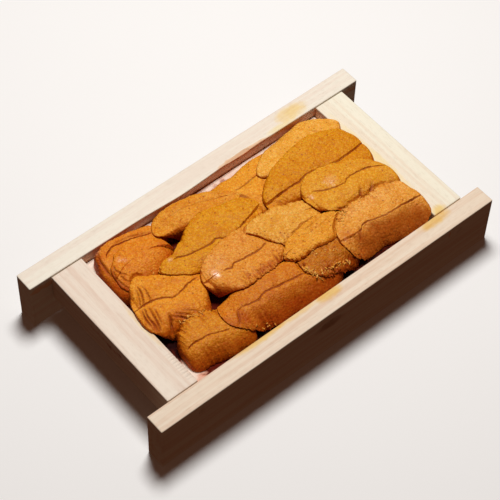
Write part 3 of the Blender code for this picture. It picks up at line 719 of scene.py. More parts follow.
def travelled(path: np.ndarray) -> np.ndarray:
    """Return how far along a path each of its points lies, from 0 to 1."""
    steps = np.linalg.norm(np.diff(path, axis=0), axis=1)
    return np.concatenate([[0.0], np.cumsum(steps)]) / steps.sum()


def along_path(path: np.ndarray, part: np.ndarray) -> np.ndarray:
    """Return the points at the given parts of a path's length."""
    far = travelled(path)
    return np.stack([np.interp(part, far, path[:, axis]) for axis in (0, 1)], axis=-1)


def smooth_step(value: np.ndarray, low: float, high: float) -> np.ndarray:
    """Rise smoothly from 0 at low to 1 at high."""
    part = np.clip((value - low) / (high - low), 0.0, 1.0)
    return part * part * (3.0 - 2.0 * part)


def rough(points: np.ndarray, period: float, seed: float) -> np.ndarray:
    """Return a smooth noise of about -1 to 1 at points.

    Args:
        points: Points in metres, with three columns.
        period: The size of its features, in metres.
        seed: Shifts the pattern.

    Returns:
        One value per point.
    """
    spots = (points / period + np.array((seed, 1.7 * seed, -0.6 * seed))).tolist()
    return np.array([noise.noise(spot) for spot in spots])


def grain(points: np.ndarray, size: float, seed: float) -> np.ndarray:
    """Return how far points lie from the middle of the nearest grain.

    Args:
        points: Points in metres, with three columns.
        size: The size of a grain, in metres.
        seed: Shifts the pattern.

    Returns:
        The distance as a part of the size.
    """
    spots = (points / size + np.array((seed, -seed, 0.5 * seed))).tolist()
    return np.array([noise.voronoi(spot)[0][0] for spot in spots])


def mesh_of(name: str, work: bmesh.types.BMesh) -> bpy.types.Mesh:
    """Turn a working mesh into a named one and free it.

    Args:
        name: The new mesh's name.
        work: The working mesh.

    Returns:
        The new mesh.
    """
    mesh = bpy.data.meshes.new(name)
    work.to_mesh(mesh)
    work.free()
    return mesh


def read_points(mesh: bpy.types.Mesh, what: str = "co") -> np.ndarray:
    """Read one vector from each vertex of a mesh.

    Args:
        mesh: The mesh.
        what: co for the coordinates, normal for the normals.

    Returns:
        The vectors, with three columns.
    """
    values = np.empty(len(mesh.vertices) * 3, np.float32)
    mesh.vertices.foreach_get(what, values)
    return values.reshape(-1, 3).astype(float)


def move_points(mesh: bpy.types.Mesh, points: np.ndarray) -> None:
    """Give a mesh's vertices new coordinates."""
    mesh.vertices.foreach_set("co", points.astype(np.float32).ravel())
    mesh.update()


def place_piece(name: str, mesh: bpy.types.Mesh, material: bpy.types.Material) -> bpy.types.Object:
    """Put a finished mesh in the scene.

    Args:
        name: The piece's name.
        mesh: Its mesh, in the tray's own frame.
        material: Its finish.

    Returns:
        The piece.
    """
    mesh.materials.clear()
    mesh.materials.append(material)
    piece = bpy.data.objects.new(name, mesh)
    bpy.context.scene.collection.objects.link(piece)
    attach(piece, "root")
    LOG.info("%s: %d vertices", name, len(mesh.vertices))
    return piece


class Pile:
    """A grid seen from above, which carries heights of the pile as arrays.

    Attributes:
        half_length, half_width: Its half sizes, in millimetres.
        cell: The size of its cells.
        radius: How far a sheet that lies on the pile spans from a high spot.
        reach, slope: How far it stays level there and how steeply it then falls.
        high_above: A height over everything.
    """

    half_length = 70.0
    half_width = 42.0
    cell = 0.4 * MM
    radius = 6.4 * MM
    reach = 0.5 * MM
    slope = 0.95
    high_above = 60.0 * MM

    def __init__(self) -> None:
        """Cover the inside of the tray and the inner part of its rails."""
        self.x, self.y = (np.arange(-half, half + 0.01, self.cell / MM) * MM
                          for half in (self.half_length, self.half_width))
        self.cells = int(round(self.radius / self.cell))
        span = range(-self.cells, self.cells + 1)
        self.steps = [(i, j, self.slope * max(0.0, math.hypot(i, j) * self.cell - self.reach))
                      for i in span for j in span if math.hypot(i, j) * self.cell <= self.radius]

    def flat(self, height: float) -> np.ndarray:
        """Return a level field."""
        return np.full((len(self.x), len(self.y)), height)

    def with_rails(self, level: np.ndarray, names: tuple[str, ...]) -> np.ndarray:
        """Add the tops of end rails to a field.

        Args:
            level: The field.
            names: The end rails, left or right.

        Returns:
            The new field.
        """
        level = level.copy()
        if "left" in names:
            level[self.x < LEFT_END_INNER, :] = RAIL_HEIGHT
        if "right" in names:
            level[self.x > RIGHT_END_INNER, :] = RAIL_HEIGHT
        return level

    def draped(self, level: np.ndarray) -> np.ndarray:
        """Lay a soft sheet on a field.

        Args:
            level: The field.

        Returns:
            The sheet's heights.
        """
        padded = np.pad(level, self.cells, mode="edge")
        result = level.copy()
        for i, j, fall in self.steps:
            start, across = self.cells + i, self.cells + j
            part = padded[start:start + len(self.x), across:across + len(self.y)]
            np.maximum(result, part - fall, out=result)
        return result

    def level(self, values: np.ndarray, plan: np.ndarray) -> np.ndarray:
        """Read a field at plan points.

        Args:
            values: The field.
            plan: The points, in metres, with two columns.

        Returns:
            One value per point.
        """
        column = np.clip((plan[:, 0] - self.x[0]) / self.cell, 0, len(self.x) - 1.001)
        row = np.clip((plan[:, 1] - self.y[0]) / self.cell, 0, len(self.y) - 1.001)
        i, j = column.astype(int), row.astype(int)
        u, v = column - i, row - j
        return (values[i, j] * (1 - u) * (1 - v) + values[i + 1, j] * u * (1 - v)
                + values[i, j + 1] * (1 - u) * v + values[i + 1, j + 1] * u * v)

    def seen(self, points: np.ndarray, faces: list, from_above: bool, missing: float) -> np.ndarray:
        """Look at a closed mesh along Z.

        Args:
            points: Its vertices.
            faces: Its faces.
            from_above: Whether to look down or up.
            missing: The value where nothing is seen.

        Returns:
            A field of the heights that are met first.
        """
        tree = BVHTree.FromPolygons(points.tolist(), faces)
        start = 1.0 if from_above else -1.0
        ray = Vector((0.0, 0.0, -start))
        heights = self.flat(missing)
        low, high = points.min(axis=0), points.max(axis=0)
        for i in np.flatnonzero((self.x >= low[0]) & (self.x <= high[0])):
            for j in np.flatnonzero((self.y >= low[1]) & (self.y <= high[1])):
                hit = tree.ray_cast(Vector((self.x[i], self.y[j], start)), ray)[0]
                if hit is not None:
                    heights[i, j] = hit.z
        return heights


class TongueMesh:
    """A tongue's fine mesh: a sphere with its poles at the tips, moved point by point.

    Attributes:
        around, lengthwise: How many faces it has around and from tip to tip.
        top_share, crowding: How many points lie on top, and how they crowd towards the edge.
        least_thickness, least_rise: The least thickness of a crown and its least height over its rim.
        wall_clearance, floor_gap, press_gap: Its distance from the walls, the floor and what lies on it.
        clearance: Its distance from what it lies on, in millimetres.
        crease_width, valley_width, line_width: Half widths of the crease, its valley and the dark line of
            painted shade along it.
        fade: How far the crease fades out, as a part of its length.
        grain_size: The size of its grains.
        lit_from: The direction of the lamp, from which the painted shade is worked out.
    """

    around = 150
    lengthwise = 230
    top_share = 0.66
    least_thickness = 1.4 * MM
    least_rise = 0.7 * MM
    wall_clearance = 0.35 * MM
    crowding = 0.22
    floor_gap = 0.2 * MM
    press_gap = 0.12 * MM
    clearance = 0.05
    crease_width = 0.28 * MM
    valley_width = 1.6 * MM
    line_width = 0.25 * MM
    fade = 0.03
    grain_size = 0.78 * MM
    lit_from = (0.15, 0.30, 0.94)

    def __init__(self, tongue: Tongue, seed: float) -> None:
        """Make the sphere and work out where its points lie seen from above.

        Args:
            tongue: The tongue that it shows.
            seed: Shifts its patterns.
        """
        self.tongue = tongue
        self.seed = seed
        self.work = bmesh.new()
        bmesh.ops.create_uvsphere(self.work, u_segments=self.around, v_segments=self.lengthwise, radius=1.0)
        ball = np.array([(vert.co.z, vert.co.x, vert.co.y) for vert in self.work.verts])
        self.faces = [[vert.index for vert in face.verts] for face in self.work.faces]
        self.along = np.arccos(np.clip(-ball[:, 0], -1.0, 1.0)) / math.pi
        turn = (np.arctan2(ball[:, 2], ball[:, 1]) / (2.0 * math.pi)) % 1.0
        turn = np.where(np.hypot(ball[:, 1], ball[:, 2]) < 1e-6, 0.0, turn)
        half = np.where(turn <= self.top_share, turn / self.top_share,
                        1.0 + (turn - self.top_share) / (1.0 - self.top_share)) * math.pi
        half = half + self.crowding * np.sin(2.0 * half)
        self.is_back = np.cos(half) >= 0.0
        self.is_top = np.sin(half) >= -1e-9
        self.across = np.abs(np.cos(half))
        self._lay_plan()
        self._shape_crown()
        self.upper = self.underside = np.zeros(len(ball))

    def _lay_plan(self) -> None:
        """Place the edge, the spine and every point between them."""
        tongue = self.tongue
        loop = (tongue.left, *tongue.back, tongue.right, *reversed(tongue.front))
        outline = smooth_path(loop, closed=True)
        turn = (len(tongue.back) + 1) * STEPS
        back_path, front_path = outline[:turn + 1], outline[turn:][::-1]
        edge = np.where(self.is_back[:, None], along_path(back_path, self.along),
                        along_path(front_path, self.along)) * MM
        spine_path = smooth_path((tongue.left, *tongue.furrow, tongue.right))
        part = (1.0 - np.cos(math.pi * self.along)) / 2.0
        spine = along_path(spine_path, part) * MM
        flat = np.column_stack([spine, np.zeros(len(spine))])
        for axis in (0, 1):
            wander = rough(flat, 2.2 * MM, self.seed + 7.0 * axis) * 0.3
            wander = wander + rough(flat, 0.9 * MM, self.seed + axis) * 0.22
            spine[:, axis] += wander * MM * np.sin(math.pi * self.along)
        outward = edge - spine
        outward /= np.maximum(np.linalg.norm(outward, axis=1), 1e-6)[:, None]
        flat = np.column_stack([edge, np.full(len(edge), 0.3 * self.seed * MM)])
        wave = rough(flat, 3.6 * MM, self.seed) * 0.45 + rough(flat, 1.3 * MM, self.seed + 3.0) * 0.18
        self.frill = np.zeros(len(edge))
        for side, start, end, depth in tongue.frills:
            here = self.is_back if side == "back" else ~self.is_back
            stretch = smooth_step(self.along, start - 0.05, start + 0.03) * (
                1.0 - smooth_step(self.along, end - 0.03, end + 0.05))
            self.frill = np.maximum(self.frill, here * stretch * depth)
        teeth = rough(flat, 0.9 * MM, self.seed + 11.0) + 0.5 * rough(flat, 0.4 * MM, self.seed + 12.0)
        wave = wave + teeth * (0.26 + 0.7 * self.frill)
        edge = edge + outward * (wave * MM * np.sin(math.pi * self.along) ** 0.3)[:, None]
        self.edge = self.keep_inside(edge)
        self.near_edge = smooth_step(self.across, 0.32, 0.85)
        self.plan = self.keep_inside(spine + (self.edge - spine) * self.across[:, None])
        self.off_spine = np.linalg.norm(self.plan - spine, axis=1)
        far = travelled(spine_path)
        self.creased = np.full(len(part), float(tongue.crease > 0.0))
        if not tongue.open_ends[0]:
            self.creased *= smooth_step(part, far[STEPS] - self.fade, far[STEPS] + self.fade)
        if not tongue.open_ends[1]:
            last = far[-STEPS - 1]
            self.creased *= 1.0 - smooth_step(part, last - self.fade, last + self.fade)

    def _shape_crown(self) -> None:
        """Work out how the height runs from the edge, 0, to the crown, 1."""
        tongue = self.tongue
        power = np.where(self.is_back, tongue.fall_back[0], tongue.fall_front[0])
        root = np.where(self.is_back, tongue.fall_back[1], tongue.fall_front[1])
        blunt = np.where(self.along < 0.5, tongue.ends[0], tongue.ends[1])
        self.crown = (np.sin(math.pi * self.along).clip(0.0) ** blunt) * (
            (1.0 - self.across ** power).clip(0.0) ** root)

    def keep_inside(self, plan: np.ndarray) -> np.ndarray:
        """Hold plan points off the walls that the tongue doesn't lie over.

        Args:
            plan: The points, in metres, which are changed.

        Returns:
            The same points.
        """
        inner = INNER_FACE - self.wall_clearance
        plan[:, 1] = np.clip(plan[:, 1], -inner, inner)
        if "left" not in self.tongue.over:
            plan[:, 0] = np.maximum(plan[:, 0], LEFT_END_INNER + self.wall_clearance)
        if "right" not in self.tongue.over:
            plan[:, 0] = np.minimum(plan[:, 0], RIGHT_END_INNER - self.wall_clearance)
        return plan

    def lie_on(self, pile: Pile, below: np.ndarray) -> None:
        """Lay the tongue on a field of heights.

        Args:
            pile: The grid.
            below: The heights of what lies under it.
        """
        tongue = self.tongue
        draped = pile.draped(pile.with_rails(below, tongue.over))
        centre = (np.array(tongue.left) + np.array(tongue.right)) / 2.0 * MM
        crest = tongue.top * MM + (self.plan - centre) @ np.array(tongue.tilt)
        rim = pile.level(draped, self.edge) + (self.clearance + tongue.lift) * MM
        rim = np.minimum(rim, crest - self.least_rise)
        groove = 0.45 * np.exp(-(self.off_spine / self.crease_width) ** 2)
        groove = groove + 0.35 * np.exp(-(self.off_spine / self.valley_width) ** 2)
        crest = crest - tongue.crease * MM * groove * self.creased
        self.upper = rim + (crest - rim) * self.crown
        lift = self.clearance + tongue.lift * (1.0 - self.crown)
        resting = pile.level(draped, self.plan) + lift * MM
        self.underside = np.minimum(resting, self.upper - self.least_thickness * self.crown)

    def press_under(self, pile: Pile, above: np.ndarray) -> None:
        """Press the tongue down under a field of heights.

        Args:
            pile: The grid.
            above: The undersides of what lies on it.
        """
        ceiling = -pile.draped(-above)
        self.upper = np.minimum(self.upper, pile.level(ceiling, self.plan) - self.press_gap)
        self.underside = np.minimum(self.underside, self.upper - self.least_thickness * self.crown)
        self.underside = np.maximum(self.underside, FLOOR_TOP + self.floor_gap)

    def points(self) -> np.ndarray:
        """Return the mesh's present points."""
        return np.column_stack([self.plan, np.where(self.is_top, self.upper, self.underside)])

    def areas(self, spots: tuple[Spot, ...]) -> np.ndarray:
        """Work out how strongly soft oval spots cover the points.

        Args:
            spots: The spots.

        Returns:
            A strength per point.
        """
        cover = np.zeros(len(self.plan))
        for x, y, wide, deep, strength in spots:
            off = np.hypot((self.plan[:, 0] / MM - x) / wide, (self.plan[:, 1] / MM - y) / deep)
            cover = np.maximum(cover, strength * (1.0 - smooth_step(off, 0.2, 1.1)))
        return cover

    def moist(self, points: np.ndarray) -> tuple[np.ndarray, np.ndarray]:
        """Work out the moist swellings and their painted sheen.

        Args:
            points: The mesh's points, in metres.

        Returns:
            How moist each point is, which also sets its painted sheen, and how far it swells, in
            millimetres.
        """
        wet_and_sheen, swell = np.zeros(len(points)), np.zeros(len(points))
        for x, y, radius, height, strength in self.tongue.wet_and_sheen_spots:
            off = np.hypot(self.plan[:, 0] - x * MM, self.plan[:, 1] - y * MM) / (radius * MM)
            swell = swell + height * (1.0 - off ** 2).clip(0.0)
            spread = smooth_step(off + 0.25 * rough(points, 1.2 * MM, 5.0), 0.3, 1.2)
            wet_and_sheen = np.maximum(wet_and_sheen, strength * (1.0 - spread))
        return wet_and_sheen, swell

    def folded(self) -> tuple[np.ndarray, np.ndarray, np.ndarray]:
        """Work out the folds.

        Returns:
            Per point, the depth in millimetres, the painted dark line of shade along the fold and the
            painted shade around it.
        """
        depth, fold_shade_lines, around = (np.zeros(len(self.plan)) for _ in range(3))
        for wrinkle in self.tongue.wrinkles:
            path = smooth_path(wrinkle.path) * MM
            gaps = np.linalg.norm(self.plan[:, None, :] - path[None, :, :], axis=2)
            off = gaps.min(axis=1) / (wrinkle.width * MM)
            part = gaps.argmin(axis=1) / (len(path) - 1.0)
            taper = np.sqrt(np.sin(math.pi * (0.04 + 0.92 * part)).clip(0.0))
            depth = depth + wrinkle.depth * taper * (np.exp(-off ** 2) - 0.35 * np.exp(-(off - 2.0) ** 2))
            fold_shade_lines = np.maximum(fold_shade_lines, wrinkle.red * taper * np.exp(-(off / 0.8) ** 2))
            around = np.maximum(around, 0.75 * wrinkle.red * taper * np.exp(-(off / 2.2) ** 2))
        return depth, fold_shade_lines, around

    def finish(self) -> bpy.types.Mesh:
        """Roughen the surface and give the mesh its marks, among them its painted shade and painted light.

        Returns:
            The finished mesh.
        """
        mesh = mesh_of(self.tongue.name + "_flesh", self.work)
        points = self.points()
        move_points(mesh, points)
        normals = read_points(mesh, "normal")
        lumps = self.tongue.lumps
        # Painted shade: the less a point faces the lamp, the deeper its colour, and the painted shade spots
        # deepen it further.
        lit = normals @ np.array(Vector(self.lit_from).normalized())
        painted_shade = 1.0 - smooth_step(lit + 0.04 * rough(points, 3.0 * MM, self.seed + 2.0), 0.45, 0.93)
        painted_shade = np.maximum(painted_shade, self.areas(self.tongue.painted_shade_spots))
        wet_and_sheen, swell = self.moist(points)
        swell = swell + rough(points, 6.0 * MM, self.seed) * 0.28
        swell = swell + rough(points, 2.4 * MM, self.seed + 5.0) * 0.13 * lumps
        fine = rough(points, 0.95 * MM, self.seed + 9.0) * 0.07 * lumps
        fine = fine + (0.5 - grain(points, self.grain_size, self.seed)) * 0.22
        swell = swell + fine * (1.0 - 0.8 * wet_and_sheen) * (1.0 - 0.55 * painted_shade)
        strand = np.column_stack([0.72 * self.edge + 0.28 * self.plan, np.zeros(len(points))])
        strands = rough(strand, 1.0 * MM, self.seed + 13.0) + 0.5 * rough(points, 0.8 * MM, self.seed + 15.0)
        ragged = self.frill * self.near_edge
        depth, fold_shade_lines, around = self.folded()
        swell = swell + ragged * strands * 0.7 - depth
        keep = self.is_top * np.sin(math.pi * self.along).clip(0.0) ** 0.3
        points = points + normals * (swell * keep * MM)[:, None]
        points[:, :2] = self.keep_inside(points[:, :2])
        move_points(mesh, points)
        # Painted shade: a dark line along the crease, joined with the dark lines of the folds.
        crease = np.exp(-(self.off_spine / self.line_width) ** 2) * self.creased
        furrow = np.maximum(crease * min(1.0, 0.25 + self.tongue.crease), fold_shade_lines)
        # Painted shade: deeper colour in the dents between the ragged strands and around the folds.
        dent_shade = np.maximum(ragged * smooth_step(-strands, -0.1, 0.4), around * self.is_top)
        marks = (furrow * self.is_top, dent_shade, painted_shade, wet_and_sheen * self.is_top, self.areas(self.tongue.painted_light))
        for name, values in zip(MARKS, marks):
            mesh.attributes.new(name, "FLOAT", "POINT").data.foreach_set("value", values.astype(np.float32))
        mesh.update()
        mesh.shade_smooth()
        return mesh


@dataclass
class Roe:
    """The sixteen tongues of roe.

    Attributes:
        tongues: Their outlines, from the lowest to the highest.
        pieces: The finished pieces.
    """

    tongues: tuple[Tongue, ...] = TONGUES
    pieces: list[bpy.types.Object] = field(default_factory=list)

    def finish_of(self, tongue: Tongue, seed: float) -> RoeFinish:
        """Choose the finish of one tongue from its colour.

        Args:
            tongue: The tongue.
            seed: Shifts its patterns.

        Returns:
            The finish.
        """
        red, green, blue = tongue.colour
        return RoeFinish(tongue.name + "_flesh", tone(red, green, 0.85 * blue),
                         tone(min(255.0, red + 12.0), green + 22.0, blue + 26.0),
                         tone(red - 20.0, green - 32.0, blue * 0.45), seed=seed)

    def build(self) -> None:
        """Lay the tongues from the lowest up, press them from the highest down, and dress them."""
        pile = Pile()
        meshes = [TongueMesh(tongue, 3.1 * number + 1.0) for number, tongue in enumerate(self.tongues)]
        below = pile.flat(FLOOR_TOP)
        for made in meshes:
            made.lie_on(pile, below)
            below = np.maximum(below, pile.seen(made.points(), made.faces, True, FLOOR_TOP))
        above = pile.flat(pile.high_above)
        for made in reversed(meshes):
            made.press_under(pile, above)
            above = np.minimum(above, pile.seen(made.points(), made.faces, False, pile.high_above))
        for made in meshes:
            tongue = made.tongue
            material = self.finish_of(tongue, made.seed).build()
            piece = place_piece(tongue.name + "_flesh", made.finish(), material)
            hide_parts(tongue.name)
            self.pieces.append(piece)
        crumb = RoeFinish("roe_crumb", tone(234, 166, 70), tone(246, 190, 108), tone(206, 118, 30))
        self.pieces.append(Shreds().build([piece.data for piece in self.pieces], crumb.build()))


@dataclass(frozen=True)
class Shreds:
    """Loose crumbs and strands of roe along the ragged edges.

    Attributes:
        rows: Stretches where they lie: a start, an end, how many there are and how long they are.
        spread: How far they stray from the stretch, in millimetres.
        seed: Starts the scatter.
    """

    rows: tuple[tuple[Plan, Plan, int, float], ...] = (
        ((0.0, -13.0), (4.5, -18.5), 5, 1.5), ((2.0, -24.0), (6.0, -31.5), 18, 2.6),
        ((7.0, -30.0), (21.0, -31.5), 20, 1.8), ((28.0, -16.5), (35.0, -12.8), 16, 2.0),
        ((-50.0, -12.6), (-36.0, -15.0), 24, 1.5),
        ((-45.0, 13.0), (-40.0, 12.0), 4, 1.0), ((42.0, -12.6), (50.0, -11.5), 7, 1.3),
        ((-29.0, -31.5), (-20.0, -33.6), 8, 1.0), ((9.0, -20.0), (20.0, -26.0), 9, 1.3),
        ((-3.0, 1.0), (4.0, -10.0), 6, 1.0))
    spread: float = 0.8
    seed: int = 7

    def build(self, meshes: list[bpy.types.Mesh], material: bpy.types.Material) -> bpy.types.Object:
        """Drop the shreds on the tongues.

        Args:
            meshes: The tongues' finished meshes.
            material: The finish.

        Returns:
            The piece.
        """
        trees = [BVHTree.FromPolygons([vert.co for vert in mesh.vertices],
                                      [list(face.vertices) for face in mesh.polygons]) for mesh in meshes]
        pick = random.Random(self.seed)
        work = bmesh.new()
        for start, end, count, length in self.rows:
            for number in range(count):
                part = (number + pick.random()) / count
                x = start[0] + (end[0] - start[0]) * part + pick.uniform(-1.0, 1.0) * self.spread
                y = start[1] + (end[1] - start[1]) * part + pick.uniform(-1.0, 1.0) * self.spread
                long = length * pick.uniform(0.6, 1.5) / 2.0
                thick = pick.uniform(0.22, 0.44)
                hits = (tree.ray_cast(Vector((x * MM, y * MM, 1.0)), Vector((0.0, 0.0, -1.0)))
                        for tree in trees)
                found = [hit for hit in hits if hit[0] is not None]
                if not found:
                    continue
                place, normal = max(found, key=lambda hit: hit[0].z)[:2]
                turn = normal.to_track_quat("Z", "X").to_matrix().to_4x4()
                turn = turn @ Matrix.Rotation(pick.uniform(0.0, math.pi), 4, "Z")
                turn = turn @ Matrix.Rotation(pick.uniform(-0.3, 0.3), 4, "Y")
                turn = turn @ Matrix.Diagonal((long, thick, thick, 1.0)) @ Matrix.Scale(MM, 4)
                bmesh.ops.create_icosphere(work, subdivisions=2, radius=1.0,
                                           matrix=Matrix.Translation(place) @ turn)
        mesh = mesh_of("roe_shreds", work)
        points = read_points(mesh)
        for axis in range(3):
            points[:, axis] += rough(points, 0.7 * MM, 3.0 + 7.0 * axis) * 0.22 * MM
        move_points(mesh, points)
        mesh.shade_smooth()
        return place_piece("roe_shreds", mesh, material)


@dataclass
class Board:
    """One board of the tray, cut finely enough to carry its marks.

    Attributes:
        node: The solid that it replaces.
        finish: Its wood.
        slot: The record's slot; not used.
        marks: Functions that move the mesh's points.
        pitch: The size of its faces, in metres.
        fine: Boxes in which its faces are smaller, as a lowest and a highest corner in millimetres.
        arris: How far its edges are eased, in metres.
    """

    node: str
    finish: BoardFinish
    slot: Slot
    marks: tuple[Mark, ...] = ()
    pitch: float = 1.0 * MM
    fine: tuple[tuple[Corner, Corner], ...] = ()
    arris: float = 0.45 * MM

    def block(self) -> bmesh.types.BMesh:
        """Make the board with eased arrises and even faces.

        Returns:
            The working mesh.
        """
        low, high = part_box(self.node)
        work = bmesh.new()
        bmesh.ops.create_cube(work, size=1.0)
        bmesh.ops.scale(work, vec=high - low, verts=work.verts)
        bmesh.ops.translate(work, vec=(high + low) / 2.0, verts=work.verts)
        bmesh.ops.bevel(work, geom=list(work.edges), offset=self.arris, offset_type="OFFSET", affect="EDGES",
                        segments=3, profile=0.5, material=-1)
        for axis in range(3):
            length = (high - low)[axis]
            long_edges = [edge for edge in work.edges
                          if abs((edge.verts[0].co - edge.verts[1].co)[axis]) > length - 4.0 * self.arris]
            bmesh.ops.subdivide_edges(work, edges=long_edges, cuts=max(1, int(length / self.pitch) - 1),
                                      use_grid_fill=True)
        for start, end in self.fine:
            inside = [edge for edge in work.edges
                      if all(start[axis] * MM <= vert.co[axis] <= end[axis] * MM
                             for vert in edge.verts for axis in range(3))]
            bmesh.ops.subdivide_edges(work, edges=inside, cuts=2, use_grid_fill=True)
        return work

    def build(self) -> bpy.types.Object:
        """Make the board, mark it and dress it.

        Returns:
            The piece.
        """
        mesh = mesh_of(self.node + "_board", self.block())
        points, normals = read_points(mesh), read_points(mesh, "normal")
        stretch = np.array((0.06, 1.0, 1.0)) if self.finish.grain is Axis.X else np.array((1.0, 0.06, 1.0))
        saw = rough(points * stretch, 1.1 * MM, 2.0) * 0.03 + rough(points, 5.0 * MM, 4.0) * 0.03 - 0.05
        points = points + normals * (saw * MM)[:, None]
        for mark in self.marks:
            points = mark(points)
        move_points(mesh, points)
        mesh.shade_smooth()
        piece = place_piece(self.node + "_board", mesh, self.finish.build())
        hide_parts(self.node)
        return piece


def nail(x: float, side: float, long: float = 1.7, wide: float = 1.7, slant: float = 0.0,
         flat: float = 0.35) -> Mark:
    """Return a mark that sinks a nail into a side rail's outer face.

    Args:
        x: Where it is, in millimetres.
        side: -1 on the front rail and 1 on the back rail.
        long, wide: Its half sizes, in millimetres.
        slant: How much it leans.
        flat: How much of it is at the full depth.

    Returns:
        The mark.
    """
    def mark(points: np.ndarray) -> np.ndarray:
        """Push the outer face in around the nail.

        Args:
            points: The mesh's points, in metres.

        Returns:
            The moved points.
        """
        right, up = points[:, 0] - x * MM, points[:, 2] - NAIL_HEIGHT
        far = np.hypot((right + up * slant) / (long * MM), (up - right * slant) / (wide * MM))
        outer = points[:, 1] * side > TRAY_WIDTH / 2.0 - NAIL_DEPTH
        points[:, 1] -= side * outer * NAIL_DEPTH * (1.0 - smooth_step(far, flat, 1.1))
        return points
    return mark


def splinter(points: np.ndarray) -> np.ndarray:
    """Take a long splinter off the back rail's inner top arris.

    Args:
        points: The mesh's points, in metres.

    Returns:
        The moved points.
    """
    x = points[:, 0] / MM
    width = np.interp(x, (10.0, 15.0, 20.0, 25.6, 26.2, 29.0, 35.0), (0.0, 0.8, 1.5, 1.7, 0.8, 0.55, 0.0))
    width = width + 0.25 * rough(points * np.array((1.0, 0.0, 0.0)), 1.6 * MM, 3.0) * (width > 0.0)
    off_face = (points[:, 1] - INNER_FACE) / MM
    allowed = RAIL_HEIGHT - np.maximum(0.0, (width - off_face) * 0.55) * MM
    points[:, 2] = np.where((width > 0.02) & (off_face < 3.0), np.minimum(points[:, 2], np.where(
        points[:, 2] > RAIL_HEIGHT - 3.0 * MM, allowed, RAIL_HEIGHT)), points[:, 2])
    return points


def bow(points: np.ndarray) -> np.ndarray:
    """Let the back rail's inner top arris stand out a little in its middle.

    Args:
        points: The mesh's points, in metres.

    Returns:
        The moved points.
    """
    near = (points[:, 1] < INNER_FACE + 1.0 * MM) * smooth_step(points[:, 2], 21.0 * MM, 25.5 * MM)
    points[:, 1] -= near * 0.9 * MM * np.exp(-((points[:, 0] / MM + 10.0) / 15.0) ** 2)
    return points


def chatter(points: np.ndarray) -> np.ndarray:
    """Leave the plane's small ridges on the left end rail's inner arris.

    Args:
        points: The mesh's points, in metres.

    Returns:
        The moved points.
    """
    y = points[:, 1] / MM
    near = smooth_step(points[:, 0] / MM, -65.2, -62.8) * smooth_step(-y, 18.0, 22.0)
    near = near * (1.0 - smooth_step(-y, 33.6, 35.0))
    ridges = np.maximum(0.0, np.sin(2.0 * math.pi * y / 1.5 + 0.8 * np.sin(y * 0.9)))
    points[:, 2] -= near * ridges * 0.38 * MM * (points[:, 2] > 24.5 * MM)
    return points


@dataclass
class Tray:
    """The two side rails, the two end rails and the floor board.

    Attributes:
        pieces: The finished pieces.
    """

    pieces: list[bpy.types.Object] = field(default_factory=list)

    def boards(self) -> list[Board]:
        """Describe the tray's five boards.

        Returns:
            The boards.
        """
        def wood(name: str, grain_axis: Axis, pale: Colour, line: Colour, shift: Corner,
                 shine: float = 0.35) -> BoardFinish:
            """Return a board's finish, from colours as a screen shows them."""
            return BoardFinish(name, grain_axis, tone(*pale), tone(*line), shift, shine)

        def nailed(side: float) -> tuple[tuple[Corner, Corner], ...]:
            """Return the fine boxes around the two nails of a side rail."""
            low, high = sorted((side * 45.0, side * 46.0))
            return (((-71.0, low, 17.0), (-62.0, high, 24.5)), ((64.0, low, 17.0), (72.0, high, 24.5)))

        def nails(side: float) -> tuple[Mark, Mark]:
            """Return the marks of a side rail's round nail and of its slit."""
            return nail(-66.5, side), nail(68.0, side, 2.2, 0.8, 0.5, 0.3)

        front = wood("front_rail_wood", Axis.X, (231, 213, 190), (219, 186, 158), (3.0, 0.4, 1.0))
        back = wood("back_rail_wood", Axis.X, (237, 231, 215), (231, 214, 198), (0.3, 2.1, 0.2))
        left = wood("left_rail_wood", Axis.Y, (235, 221, 204), (222, 196, 176), (1.2, 0.9, 0.7))
        right = wood("right_rail_wood", Axis.Y, (239, 233, 212), (232, 214, 190), (2.6, 5.9, 3.1))
        floor = wood("floor_wood", Axis.X, (236, 222, 208), (228, 202, 184), (5.0, 1.9, 2.2), 0.03)
        inner_arris = (((8.0, 36.0, 22.0), (37.0, 40.5, 26.5)),)
        planed = (((-66.0, -36.0, 23.0), (-60.5, -13.0, 26.5)),)
        return [
            Board("rail_front", front, Slot.TRAY_WOOD, nails(-1.0), fine=nailed(-1.0)),
            Board("rail_back", back, Slot.TRAY_WOOD, (bow, splinter, *nails(1.0)),
                  fine=nailed(1.0) + inner_arris),
            Board("end_rail_left", left, Slot.TRAY_WOOD, (chatter,), fine=planed),
            Board("end_rail_right", right, Slot.TRAY_WOOD),
            Board("floor_board", floor, Slot.FLOOR_WOOD),
        ]

    def build(self) -> None:
        """Make the boards."""
        for board in self.boards():
            self.pieces.append(board.build())


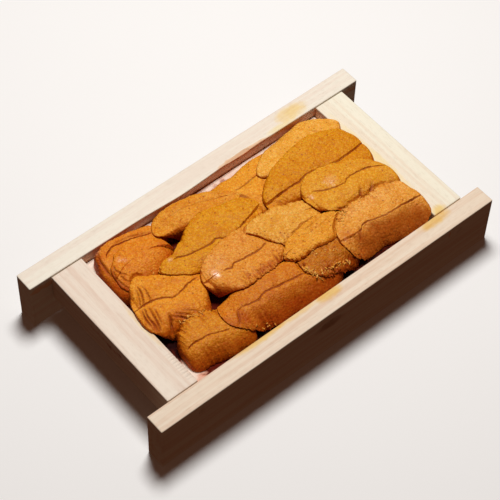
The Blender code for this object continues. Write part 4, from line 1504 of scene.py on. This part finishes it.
@dataclass
class Studio:
    """The pale table, the soft overhead light and the camera.

    Attributes:
        azimuth, elevation, roll: The camera's direction, in degrees.
        lens: Its focal length, in millimetres on a 36 mm sensor.
        position: Where it stands, in metres.
        sensor: The width of its sensor, in millimetres.
        light_from, light_distance: Where the lamp hangs.
        light_power, light_size: Its power in watts and its width in metres.
        light_colour: Its colour.
        fill: The light in the shade.
        table_half: Half the table's width, in metres.
    """

    azimuth: float = -41.76
    elevation: float = 54.26
    roll: float = 2.13
    lens: float = 130.5
    position: tuple[float, float, float] = (-0.2872, -0.3166, 0.6108)
    light_from: tuple[float, float, float] = (0.15, 0.20, 0.97)
    light_distance: float = 0.8
    light_power: float = 6.2
    light_size: float = 0.26
    light_colour: Colour = (1.0, 0.99, 0.965)
    fill: Colour = (0.066, 0.031, 0.019)
    sensor: float = 36.0
    table_half: float = 2.0

    def table(self) -> None:
        """Make the plain pale table."""
        work = bmesh.new()
        bmesh.ops.create_grid(work, x_segments=8, y_segments=8, size=self.table_half)
        mesh = mesh_of("table", work)
        paint = Paint("table_top")
        cloud = paint.cloud(paint.place((6.0, 6.0, 6.0)), 2.0)
        paint.set(Base_Color=paint.mix(cloud * 0.5, (0.93, 0.93, 0.93), (0.90, 0.90, 0.90)), Roughness=0.9,
                  Specular_IOR_Level=0.1)
        mesh.materials.append(paint.material)
        top = bpy.data.objects.new("table", mesh)
        bpy.context.scene.collection.objects.link(top)
        top.visible_diffuse = False
        top.visible_glossy = False

    def light(self) -> None:
        """Hang one soft light overhead and fill the shade with a little warm light."""
        lamp = bpy.data.lights.new("overhead", "AREA")
        lamp.shape = "DISK"
        lamp.size = self.light_size
        lamp.energy = self.light_power
        lamp.color = self.light_colour
        hung = bpy.data.objects.new("overhead", lamp)
        towards = Vector(self.light_from).normalized()
        hung.location = towards * self.light_distance
        hung.rotation_euler = towards.to_track_quat("Z", "Y").to_euler()
        bpy.context.scene.collection.objects.link(hung)
        world = bpy.data.worlds.new("room")
        world.use_nodes = True
        world.node_tree.nodes["Background"].inputs["Color"].default_value = (*self.fill, 1.0)
        world.node_tree.nodes["Background"].inputs["Strength"].default_value = 1.0
        bpy.context.scene.world = world
        bpy.context.scene.view_settings.view_transform = "Standard"

    def camera(self) -> None:
        """Stand the camera where the photograph was taken from."""
        turn, rise, roll = (math.radians(angle) for angle in (self.azimuth, self.elevation, self.roll))
        back = Vector((math.sin(turn) * math.cos(rise), -math.cos(turn) * math.cos(rise), math.sin(rise)))
        right = Vector((math.cos(turn), math.sin(turn), 0.0))
        up = back.cross(right)
        side = right * math.cos(roll) + up * math.sin(roll)
        head = up * math.cos(roll) - right * math.sin(roll)
        lens = bpy.data.cameras.new("photo_view")
        lens.lens = self.lens
        lens.sensor_width = self.sensor
        lens.clip_start = 0.01
        lens.clip_end = 10.0
        stand = bpy.data.objects.new("photo_view", lens)
        aim = Matrix((side, head, back)).transposed().to_4x4()
        stand.matrix_world = Matrix.Translation(self.position) @ aim
        bpy.context.scene.collection.objects.link(stand)
        bpy.context.scene.camera = stand


def main() -> None:
    """Build the scene."""
    logging.basicConfig(level=logging.INFO, format="%(message)s")
    studio = Studio()
    studio.camera()
    studio.light()
    studio.table()
    Tray().build()
    Roe().build()


if __name__ == "__main__":
    main()
